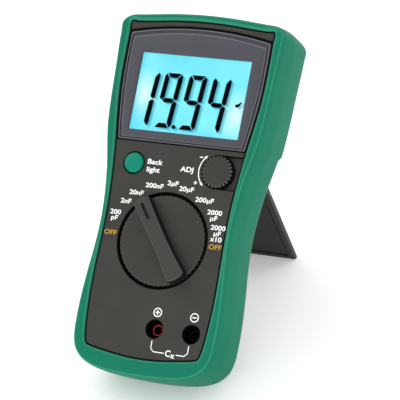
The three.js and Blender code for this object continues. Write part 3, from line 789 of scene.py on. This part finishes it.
def build_front_housing():
    shell_outline = moved_in(WIDEST, HOUSING_OUTSIDE)
    inside = moved_in(WIDEST, HOUSING_INSIDE)
    body = stack(
        (shell_outline, SOCKET_FLOOR), (shell_outline, -1.3), (moved_in(shell_outline, 0.2), -1.2),
    )
    hollow = stack((inside, SOCKET_FLOOR - 1), (inside, -2.6))
    shell = combined("DIFFERENCE", body, [hollow])
    towers = [disc(x, SOCKET_Y, SOCKET_WELL + 1.6, SOCKET_FLOOR, -1.5) for x in SOCKETS.values()]
    whole = combined("UNION", shell, [
        prism(PANEL, -2, 0),
        prism(bezel_outline(-2), -4.5, -2.1),  # bed of the display
        prism(rounded_rectangle(12, 0, 33, 22, 1), -4.2, -1.9),  # bed of the adjuster
        disc(0, DIAL_Y, WELL_RADIUS + 1.5, -5.4, -1.8, sides=96),  # collar of the dial
        disc(BUTTON.x, BUTTON.y, BUTTON_HOLE + 1.3, -2.9, -1.7),  # collar of the button
        *towers,
    ])
    cut = combined("DIFFERENCE", whole, [
        prism(bezel_outline(-0.35, -0.95, -0.6), -2.2, 1),
        prism(window_outline(3.4, 0.5), -6, 0),
        disc(0, DIAL_Y, WELL_RADIUS, -6, 1, sides=144),
        disc(BUTTON.x, BUTTON.y, BUTTON_HOLE, -4, 1),
        prism(recess_outline(), RECESS_FLOOR, 1),
        disc(ADJUST.x, ADJUST.y, 3.3, -6, 0),
        *[disc(x, SOCKET_Y, SOCKET_WELL, SOCKET_FLOOR - 1, 1) for x in SOCKETS.values()],
    ])
    add_piece("printed_panel", cut, "dark_panel", stands_for=["front_housing"],
              edge=0.18)
    build_painted_gap_shade()


def band(outside, inside, low, high):
    """A flat band between two outlines."""
    return combined("DIFFERENCE", prism(outside, low, high), [prism(inside, low - 1, high + 1)])


def build_painted_gap_shade():
    """Painted shade: black bands and tubes in the gaps round the panel, bezel, dial, button, adjuster and sockets,
    where shade falls.
    """
    # Painted shade: black bands in the gaps round the panel and the bezel.
    panel_gap_shade = band(moved_in(OPENING, 0.06), moved_in(OPENING, 0.94), -1.15, -0.5)
    bezel_gap_shade = band(bezel_outline(-0.33, -0.93, -0.58), bezel_outline(BEZEL_GAP + 0.1), -2.08, -1.0)
    add_piece("panel_gap_shade", together(panel_gap_shade, bezel_gap_shade), "black_plastic")
    recess_gap_shade = band(
        moved_in(recess_outline(), 0.04), moved_in(recess_outline(), 0.45), RECESS_FLOOR + 0.02, -0.2,
    )
    # Painted shade: black tubes down the walls of the dial's well, the button's hole, the adjuster's recess and
    # the sockets.
    shade_tubes = [
        tube(0, DIAL_Y, WELL_RADIUS - 0.45, WELL_RADIUS - 0.05, -3.2, -0.3, 144),
        tube(BUTTON.x, BUTTON.y, BUTTON_RADIUS + 0.2, BUTTON_HOLE - 0.04, -2.6, -0.3),
        combined("INTERSECT", recess_gap_shade, [prism(PANEL, -3, 1)]),
        tube(ADJUST.x, ADJUST.y, 4, RECESS_HALF - 0.1, RECESS_FLOOR + 0.01, RECESS_FLOOR + 0.2),
    ]
    for x in SOCKETS.values():
        shade_tubes.append(tube(x, SOCKET_Y, SOCKET_WELL - 0.35, SOCKET_WELL - 0.04, SOCKET_FLOOR, -0.3))
    add_piece("well_shade_tubes", together(*shade_tubes), "black_plastic")


# ---- display


def frame_outline(side, top, bottom):
    """An outline of the moulding itself, inside the black gap that runs round it."""
    return bezel_outline(side + BEZEL_GAP, top + BEZEL_GAP, bottom + BEZEL_GAP / 2)


def build_bezel():
    """Flat flange with a groove and two arrises carrying a painted highlight, then a chamfer up to the raised
    frame.
    """
    insets_and_levels = [
        ((0, 0, 0), -1.9),
        ((0, 0, 0), -0.35),
        ((0.25, 0.25, 0.25), -0.12),
        ((0.7, 0.8, 0.5), -0.12),
        ((0.8, 0.95, 0.6), -0.8),
        ((1.6, 2.2, 1.1), -0.8),
        ((1.75, 2.4, 1.25), -0.1),
        ((2.1, 2.9, 1.5), -0.1),
        ((2.9, 4.1, 2.0), 0.24),
        ((3.2, 4.5, 2.3), 0.3),
    ]
    raised = stack(*[(frame_outline(*insets), z) for insets, z in insets_and_levels])
    # Painted highlight: two thin pale bands along the flange's arrises.
    arrises = [
        band(frame_outline(0.2, 0.2, 0.2), frame_outline(0.55, 0.6, 0.5), -0.3, -0.08),
        band(frame_outline(1.85, 2.5, 1.3), frame_outline(2.15, 2.95, 1.5), -0.3, -0.06),
    ]
    add_piece("bezel_arris_highlights", together(*arrises), "bezel_painted_highlight")
    window = stack(
        (window_outline(0), -3), (window_outline(0), -0.3), (window_outline(0.15), 0.05),
        (window_outline(0.6), 0.31), (window_outline(0.6), 1),
    )
    rebate = prism(window_outline(1.8, 1), -3, -1)
    bezel = combined("DIFFERENCE", raised, [window, rebate])
    add_piece("bezel_moulding", bezel, "bezel_plastic", stands_for=["display_bezel"],
              sharp=40)


SEGMENTS = {"1": "bc", "9": "abcdfg", "4": "bcfg"}
DIGIT_WIDTH, DIGIT_HEIGHT, DIGIT_SLANT = 10.1, 28.4, 0.078
DIGIT_Y = 44.9
DIGITS = [("1", -24.9), ("9", -12.2), ("9", 1.2), ("4", 14.6)]
DIGIT_LEVEL = -2.2
SHADE_OFFSETS = [Vector((0.6 * step, -0.35 * step)) for step in (1, 2, 3)]


def digit_shapes(character):
    """Bars of a seven-bar figure: clipped corners, slanted ends and a hairline between neighbours."""
    stroke, bar, gap, clip = 2.7, 2.4, 0.3, 1.0
    wide, high = DIGIT_WIDTH / 2, DIGIT_HEIGHT / 2
    far, near = wide - clip - gap, wide - stroke - gap - 0.1
    top = [(-far, high), (far, high), (near, high - bar), (-near, high - bar)]
    side = [(wide - clip, high - gap), (wide, high - gap - clip * 1.35), (wide, stroke * 0.3),
            (wide - stroke / 2, gap / 2), (wide - stroke, bar / 2 + gap / 2),
            (wide - stroke, high - bar - gap)]
    tip, shoulder = wide - stroke / 2 - gap, wide - stroke - gap
    middle = [(-tip, 0), (-shoulder, bar / 2), (shoulder, bar / 2),
              (tip, 0), (shoulder, -bar / 2), (-shoulder, -bar / 2)]
    bars = {"a": top, "b": side, "g": middle}
    bars["c"] = [(x, -y) for x, y in side]
    bars["d"] = [(x, -y) for x, y in top]
    bars["f"] = [(-x, y) for x, y in side]
    return [[Vector((x + DIGIT_SLANT * y, y)) for x, y in bars[key]] for key in SEGMENTS[character]]


def display_shapes():
    """The figures, the decimal point and the small mark to their right."""
    shapes = []
    for character, x in DIGITS:
        for shape in digit_shapes(character):
            shapes.append([Vector((p.x + x, p.y + DIGIT_Y)) for p in shape])
    shapes.append(circle(-6.4, 31.6, 1.05, 16))
    mark = [(24.6, 45.2), (25.8, 44.7), (27.0, 45.6), (28.1, 47.5), (27.3, 47.7), (26.3, 46.6),
            (24.9, 46.4)]
    shapes.append([Vector(p) for p in mark])
    return shapes


def build_digits():
    bars = [prism(shape, DIGIT_LEVEL + 0.02, DIGIT_LEVEL + 0.1) for shape in display_shapes()]
    add_piece("display_digits", together(*bars), "digit_black", sharp=30)
    cast = []
    for i, offset in enumerate(SHADE_OFFSETS):
        level = DIGIT_LEVEL + 0.003 + 0.005 * i
        cast += [prism([p + offset for p in shape], level, level + 0.003) for shape in display_shapes()]
    add_piece("digit_shadows", together(*cast), "digit_shade", sharp=30)


# ---- range knob


def grip_outline(shrink):
    """The grip along the x axis: waisted, broadest at its tail, each end a shallow bow."""
    tail, nose = DISC_RADIUS + 0.4, DISC_RADIUS + 0.6
    top = []
    for step in range(25):
        x = -tail + 1.3 + (tail + nose - 2.6) * step / 24
        flare = 0.6 if x > 0 else 1.2
        top.append(Vector((x, 3.85 + flare * (x / nose) ** 2 - shrink)))
    ends = {}
    for sign, reach in ((1, nose), (-1, tail)):
        half = top[-1 if sign > 0 else 0].y
        ends[sign] = []
        for step in range(1, 8):
            y = half * (1 - step / 4)
            ends[sign].append(Vector((sign * (reach - shrink - 1.3 * (y / half) ** 2), y)))
    low = [Vector((p.x, -p.y)) for p in top]
    return low + list(reversed(ends[1])) + list(reversed(top)) + ends[-1]


def to_pointer(bm):
    """Carries a part made along the x axis to the dial, turned to the pointer's rest position."""
    bm.transform(Matrix.Translation((0, DIAL_Y, 0)) @ Matrix.Rotation(POINTER_ANGLE, 4, "Z"))


def build_range_knob():
    """Toothed disc, dished a little, with a tapered grip across it and a pointer slot."""
    teeth = 54
    rim = []
    for i in range(teeth * 8):
        angle = 2 * math.pi * i / (teeth * 8)
        radius = DISC_RADIUS + 0.1 - 0.5 * (0.5 + 0.5 * math.cos(teeth * angle)) ** 2
        rim.append(polar(0, 0, radius, angle))
    disc_top = 0.2
    base = stack(
        (rim, -4), (rim, disc_top - 0.4), (circle(0, 0, DISC_RADIUS - 0.8, len(rim)), disc_top - 0.1),
        (circle(0, 0, DISC_RADIUS - 1.1, len(rim)), disc_top),
    )
    grip = stack(
        (grip_outline(-0.1), -1), (grip_outline(-0.1), 0.2), (grip_outline(0.05), GRIP_TOP - 0.55),
        (grip_outline(0.25), GRIP_TOP - 0.25), (grip_outline(0.55), GRIP_TOP),
    )
    # Painted shade: a black disc down in the dial's well, where shade falls round the disc's edge.
    well_shade = disc(0, DIAL_Y, WELL_RADIUS - 0.5, -5.6, -3.6, sides=96)
    add_piece("dial_well_shade", well_shade, "black_plastic", "range_switch")
    # Painted shade: a near-black sleeve on the grip's side walls, as in shade.
    flank = stack((grip_outline(-0.16), 0.1), (grip_outline(0), GRIP_TOP - 0.7))
    flank = combined("DIFFERENCE", flank, [prism(grip_outline(0.3), 0, GRIP_TOP)])
    to_pointer(flank)
    add_piece("grip_flank", flank, "knob_painted_shade", "range_switch")
    whole = combined("UNION", base, [grip])
    slot = prism(rounded_rectangle(11.4, -0.85, 20.6, 0.85, 0.7), GRIP_TOP - 1.8, GRIP_TOP + 1)
    knob = combined("DIFFERENCE", whole, [slot])
    to_pointer(knob)
    add_piece("range_dial", knob, "knob_plastic", "range_switch", ["range_knob"], edge=0.12)


# ---- button and adjuster


def build_button():
    profile = [
        (0, -4.1), (6.6, -4.1), (6.6, -3.3), (BUTTON_RADIUS, -3.2), (BUTTON_RADIUS, 0.3),
        (BUTTON_RADIUS - 0.12, 0.62), (BUTTON_RADIUS - 0.4, 0.88), (BUTTON_RADIUS - 0.9, 1.03),
        (3, 1.2), (1.5, 1.28), (0, 1.3),
    ]
    add_piece("light_button", turned(profile, BUTTON.x, BUTTON.y), "button_green", "backlight_key",
              ["backlight_button"])


def build_adjuster():
    scallops, steps = 24, 12

    def rim_at(inset, depth):
        rim = []
        for i in range(scallops * steps):
            angle = 2 * math.pi * i / (scallops * steps)
            dip = max(0, math.cos(scallops * angle)) ** 2
            radius = ADJUST_RADIUS - 0.02 - inset - depth * dip
            rim.append(polar(ADJUST.x, ADJUST.y, radius, angle))
        return rim

    rim = rim_at(0, 0.95)
    flank_top = ADJUST_TOP - 1.3
    # Painted shade: the adjuster's scalloped side is near-black, as in shade.
    flank = stack((rim, RECESS_FLOOR + 0.3), (rim, flank_top))
    bore = disc(ADJUST.x, ADJUST.y, 3.1, -4, 0)
    add_piece("zero_knob_flank", combined("DIFFERENCE", flank, [bore]), "knob_painted_shade", "adjuster")
    knob = stack(
        (rim, flank_top), (rim, ADJUST_TOP - 1.1), (rim_at(0.75, 0.7), ADJUST_TOP - 0.3),
        (rim_at(1.3, 0.3), ADJUST_TOP - 0.08),
        (circle(ADJUST.x, ADJUST.y, ADJUST_RADIUS - 1.9, scallops * steps), ADJUST_TOP),
    )
    add_piece("zero_knob", knob, "knob_plastic", "adjuster", ["adjust_knob"])


# ---- sockets


def build_sockets():
    liner_depth, bore, barrel_radius = 15, 2.55, 2.9
    for name, x in SOCKETS.items():
        flange = tube(x, SOCKET_Y, bore, 6.1, SOCKET_FLOOR - 1.9, SOCKET_FLOOR - 0.35)
        barrel = tube(x, SOCKET_Y, bore, barrel_radius, SOCKET_FLOOR - 0.6, SOCKET_RIM - 0.45)
        liner = tube(x, SOCKET_Y, 2.05, bore - 0.05, -liner_depth, SOCKET_RIM - 0.45)
        add_piece(f"{name}_shroud", together(barrel, liner, flange), "black_plastic",
                  stands_for=[f"{name}_socket_insulator"])
        finish = "red_plastic" if name == "plus" else "black_plastic"
        ring = tube(x, SOCKET_Y, 2.15, barrel_radius, SOCKET_RIM - 0.4, SOCKET_RIM)
        add_piece(f"{name}_shroud_ring", ring, finish)
        contact = turned([
            (0, SOCKET_FLOOR - 5), (2.25, SOCKET_FLOOR - 5), (2.25, -liner_depth - 0.2),
            (2, -liner_depth - 0.2), (2, SOCKET_FLOOR - 4), (0, SOCKET_FLOOR - 4),
        ], x, SOCKET_Y, 48)
        add_piece(f"{name}_spring_contact", contact, "brass",
                  stands_for=[f"{name}_socket_contact"])


# ---- printing on the panel


PRINT_LEVEL = 0.02
HALF_THICKNESS = 0.01
PRINT_BOTTOM, PRINT_TOP = PRINT_LEVEL - HALF_THICKNESS, PRINT_LEVEL + HALF_THICKNESS
BOLDNESS = 0.07


def lettering(text, x, y, size, stretch=1.2):
    """One line of plain lettering, centred on a point of the panel."""
    curve = bpy.data.curves.new("lettering", "FONT")
    curve.body = text
    curve.size = size
    curve.align_x = "CENTER"
    curve.align_y = "CENTER"
    curve.offset = BOLDNESS
    curve.extrude = HALF_THICKNESS
    curve.resolution_u = 4
    holder = placed("lettering", curve)
    bm = baked(holder)
    bpy.data.objects.remove(holder)
    bm.transform(Matrix.Translation((x, y, PRINT_LEVEL)) @ Matrix.Diagonal((stretch, 1, 1, 1)))
    return bm


LABEL_SIZE = 3.35
NAME_SIZE = 3.6
LINE_PITCH = 2.9
# Each label: its lines, and the angle and radius of its middle about the dial's centre.
RANGE_LABELS = [
    (["200", "pF"], 160.5, 29.9),
    (["2nF"], 143.4, 29.4),
    (["20nF"], 129.9, 29.2),
    (["200nF"], 109.7, 28.5),
    (["2µF"], 89.6, 29.1),
    (["20µF"], 73.3, 28.2),
    (["200µF"], 50.2, 29.4),
    (["2000", "µF"], 31.6, 29.8),
    (["2000", "µF", "x10"], 13.4, 29.5),
]
OFF_ANGLES = [178.2, 0.2]
OFF_RADIUS = 28.9
BRACKET_Y = -81.4


def stroke_line(points, width):
    """A flat printed line of constant width through points."""
    bm = bmesh.new()
    sides = []
    for i, point in enumerate(points):
        before, after = points[max(i - 1, 0)], points[min(i + 1, len(points) - 1)]
        along = (after - before).normalized()
        across = Vector((-along.y, along.x)) * width / 2
        left, right = point + across, point - across
        section = at_level([left, right], PRINT_BOTTOM) + at_level([right, left], PRINT_TOP)
        sides.append([bm.verts.new(p) for p in section])
    for a, b in zip(sides, sides[1:]):
        for i in range(4):
            j = (i + 1) % 4
            bm.faces.new((a[i], a[j], b[j], b[i]))
    bm.faces.new(list(reversed(sides[0])))
    bm.faces.new(sides[-1])
    bmesh.ops.recalc_face_normals(bm, faces=bm.faces)
    return bm


def printed_plate(outline):
    return prism(outline, PRINT_BOTTOM, PRINT_TOP)


def printed_ring(x, y, outer, inner):
    profile = [(outer, PRINT_BOTTOM), (outer, PRINT_TOP), (inner, PRINT_TOP), (inner, PRINT_BOTTOM)]
    return skin([at_level(circle(x, y, radius, 40), z) for radius, z in profile], closed=True)


def arrow_head(tip, direction, size=1.8):
    direction = direction.normalized()
    across = Vector((-direction.y, direction.x)) * size * 0.42
    back = tip - direction * size
    return printed_plate([tip, back + across, back - across])


def plus_or_minus(x, y, half, width, upright):
    """A minus sign, or a plus sign where it has its upright."""
    strokes = [stroke_line([Vector((x - half, y)), Vector((x + half, y))], width)]
    if upright:
        strokes.append(stroke_line([Vector((x, y - half)), Vector((x, y + half))], width))
    return strokes


def build_printing():
    white = []
    for lines, angle, radius in RANGE_LABELS:
        middle = polar(0, DIAL_Y, radius, math.radians(angle))
        for i, line in enumerate(lines):
            drop = (i - (len(lines) - 1) / 2) * LINE_PITCH
            white.append(lettering(line, middle.x, middle.y - drop, LABEL_SIZE))
    for name, x, y in (("Back", -11.9, 12.4), ("light", -12.1, 8.4), ("ADJ", 6.4, 10.5)):
        white.append(lettering(name, x, y, NAME_SIZE))
    white.append(lettering("C", 14.5, BRACKET_Y, 4.4, stretch=1))
    white.append(lettering("x", 17.2, BRACKET_Y - 0.6, 4.0, stretch=1))
    white += adjust_scale() + socket_marks()
    add_piece("white_printing", together(*white), "white_print", sharp=30)
    orange = []
    for angle in OFF_ANGLES:
        middle = polar(0, DIAL_Y, OFF_RADIUS, math.radians(angle))
        orange.append(lettering("OFF", middle.x, middle.y, LABEL_SIZE))
    add_piece("orange_printing", together(*orange), "orange_print", sharp=30)


def adjust_scale():
    """A double-headed arc beside the adjuster, from minus to plus."""
    radius, half_angle = 10.2, 46
    angles = [math.radians(180 - half_angle + 2 * half_angle * i / 24) for i in range(25)]
    arc = [polar(ADJUST.x, ADJUST.y, radius, angle) for angle in angles]
    marks = [stroke_line(arc[2:-2], 0.5)]
    for end, before in ((arc[0], arc[2]), (arc[-1], arc[-3])):
        marks.append(arrow_head(end + (end - before) * 0.4, end - before))
    marks += plus_or_minus(12.85, 17.6, 0.95, 0.5, upright=False)
    marks += plus_or_minus(12.1, 4.5, 0.9, 0.5, upright=True)
    return marks


def socket_marks():
    """A ringed plus and minus above the sockets, and the bracket that joins them."""
    marks = []
    mark_y = SOCKET_Y + 8.35
    for name, x in SOCKETS.items():
        marks.append(printed_ring(x + 0.2, mark_y, 2.3, 1.8))
        marks += plus_or_minus(x + 0.2, mark_y, 1.1, 0.55, upright=name == "plus")
    left, right = SOCKETS["plus"], SOCKETS["minus"]
    top, corner = SOCKET_Y - 5.8, 1.6
    left_arm = [(left, top), (left, BRACKET_Y + corner), (left + corner, BRACKET_Y), (12.4, BRACKET_Y)]
    right_arm = [(18.9, BRACKET_Y), (right - corner, BRACKET_Y), (right, BRACKET_Y + corner), (right, top)]
    for arm in (left_arm, right_arm):
        marks.append(stroke_line([Vector(p) for p in arm], 0.45))
    return marks


# ---- stand and back

HINGE = in_meter(JOINTS["stand_hinge"]["pos_m"])
STAND_OPEN = math.radians(65.4)
LEAN = math.atan2(UP.z, UP.y)


def cross_rod(radius, left, right):
    """A rod along x through the stand's hinge line."""
    return skin([[Vector((x, p.x, p.y)) for p in circle(0, 0, radius, 32)] for x in (left, right)])


def build_stand():
    """Leg in its own frame: the hinge at the origin, the leg down -y, its front towards +z."""
    length = (HINGE.y + HINGE.z - BENCH_PLANE) / (math.cos(STAND_OPEN) + math.sin(STAND_OPEN))
    half, inner, half_thick = 28, 24.2, 1.3
    plan = [(-half, -length - 4), (half, -length - 4), (half, -7), (inner, -3.4), (inner, 0), (-inner, 0),
            (-inner, -3.4), (-half, -7)]
    leg = prism([Vector(p) for p in plan], -half_thick, half_thick)
    bench = prism([Vector(p) for p in ((-40, -80), (40, -80), (40, 0), (-40, 0))], -10, 10)
    bench.transform(Matrix.Translation((0, -length, 0)) @ Matrix.Rotation(LEAN - STAND_OPEN, 4, "X"))
    tray = rounded_rectangle(3 - half, 3 - length, half - 3, -6, 1)
    back_trays = [rounded_rectangle(4 - half, y, half - 4, y + 20, 2) for y in (-78, -54.5, -31)]
    joined = combined("UNION", leg, [cross_rod(1.9, -inner, inner), cross_rod(1.1, -half, half)])
    cut = combined("DIFFERENCE", joined, [
        prism(tray, half_thick - 0.9, 3),
        *[prism(outline, -3, 0.5 - half_thick) for outline in back_trays],
        bench,
    ])
    place = METER @ Matrix.Translation(HINGE * MM) @ Matrix.Rotation(STAND_OPEN, 4, "X")
    add_piece("stand_leg", cut, "stand_plastic", "stand", ["tilt_stand"], edge=0.2,
              place=place)
    inlay = prism(moved_in(tray, 0.7), half_thick - 0.95, half_thick - 0.4, 0.2)
    add_piece("stand_front_panel", inlay, "stand_inlay", "stand", place=place)
    # Painted shade: the floor of the groove round the stand's front panel is black.
    groove = band(moved_in(tray, 0.02), moved_in(tray, 0.68), half_thick - 0.92, half_thick - 0.75)
    add_piece("stand_groove_shade", groove, "black_plastic", "stand", place=place)


# ---- carried-over CAD nodes


def finish_cad_nodes():
    """Gives every CAD node its slot's material, and rounds the edges of four that show from outside."""
    slots = {row["node"]: row["material_slot"] for row in frame["record"]["subparts"]}
    rounded = {"rear_housing": 0.2, "battery_cover": 0.3, "cover_screw": 0.1, "display_lens": 0.1}
    for name, node in frame["nodes"].items():
        node.data.materials.clear()
        node.data.materials.append(material_named(slots[name]))
        soften(node, rounded.get(name, 0))


# ---- studio


def add_light(name, location, target, size, power):
    """A soft rectangular lamp, which itself stays out of the picture."""
    light = bpy.data.lights.new(name, "AREA")
    light.shape = "RECTANGLE"
    light.size, light.size_y = size
    light.energy = power
    holder = placed(name, light)
    holder.visible_camera = False
    holder.location = location
    holder.rotation_mode = "QUATERNION"
    holder.rotation_quaternion = (Vector(target) - Vector(location)).to_track_quat("-Z", "Y")


def build_studio():
    centre = (cad_box[0] + cad_box[1]) / 2
    bm = bmesh.new()
    bmesh.ops.create_grid(bm, x_segments=1, y_segments=1, size=6)
    mesh = mesh_of("studio_floor", bm)
    floor = placed("studio_floor", mesh)
    floor.location.z = cad_box[0].z - 0.0002
    material, tree, shader = new_material("pale_floor")
    tint = shade_between(tree, noise(tree, 3).outputs["Fac"], (0.9, 0.9, 0.9), (0.93, 0.93, 0.93))
    tree.links.new(tint, shader.inputs["Base Color"])
    shader.inputs["Roughness"].default_value = 0.9
    shader.inputs["Emission Color"].default_value = (1, 1, 1, 1)
    shader.inputs["Emission Strength"].default_value = 0.2
    mesh.materials.append(material)

    world = bpy.data.worlds.new("studio")
    bpy.context.scene.world = world
    world.use_nodes = True
    background = next(node for node in world.node_tree.nodes if node.type == "BACKGROUND")
    background.inputs["Color"].default_value = (1, 1, 1, 1)
    background.inputs["Strength"].default_value = 1.0

    add_light("key", centre + Vector((-0.85, 0.15, 0.95)), centre, (1.2, 1.2), 4.6)
    add_light("fill", centre + Vector((-0.1, -0.9, 0.05)), centre, (1.2, 0.24), 2.8)
    add_light("back", centre + Vector((0.8, 0.95, 0.1)), centre, (0.5, 0.4), 5)
    bpy.context.scene.view_settings.view_transform = "Standard"


VIEW_AZIMUTH = math.radians(29.07)
VIEW_ELEVATION = math.radians(32.62)
VIEW_ROLL = math.radians(9.65)
VIEW_DISTANCE = 1.057
VIEW_AIM = (16.3, -3.8)  # the point of the panel that the camera looks at, in millimetres
FOCAL_LENGTH = 192.6


def build_camera():
    camera = bpy.data.cameras.new("camera")
    camera.lens = FOCAL_LENGTH
    camera.sensor_width = 36
    camera.clip_start, camera.clip_end = 0.05, 20
    holder = placed("camera", camera)
    forward = Vector((
        -math.sin(VIEW_AZIMUTH) * math.cos(VIEW_ELEVATION),
        math.cos(VIEW_AZIMUTH) * math.cos(VIEW_ELEVATION),
        -math.sin(VIEW_ELEVATION),
    ))
    aim = METER @ Vector((VIEW_AIM[0] * MM, VIEW_AIM[1] * MM, 0))
    level = forward.to_track_quat("-Z", "Y")
    roll = Matrix.Rotation(VIEW_ROLL, 3, forward).to_quaternion()
    holder.rotation_mode = "QUATERNION"
    holder.rotation_quaternion = roll @ level
    holder.location = aim - forward * VIEW_DISTANCE
    bpy.context.scene.camera = holder


# ---- the whole picture

finish_cad_nodes()
build_holster()
build_front_housing()
build_bezel()
build_digits()
build_range_knob()
build_button()
build_adjuster()
build_sockets()
build_printing()
build_stand()
build_studio()
build_camera()

bpy.context.view_layer.update()
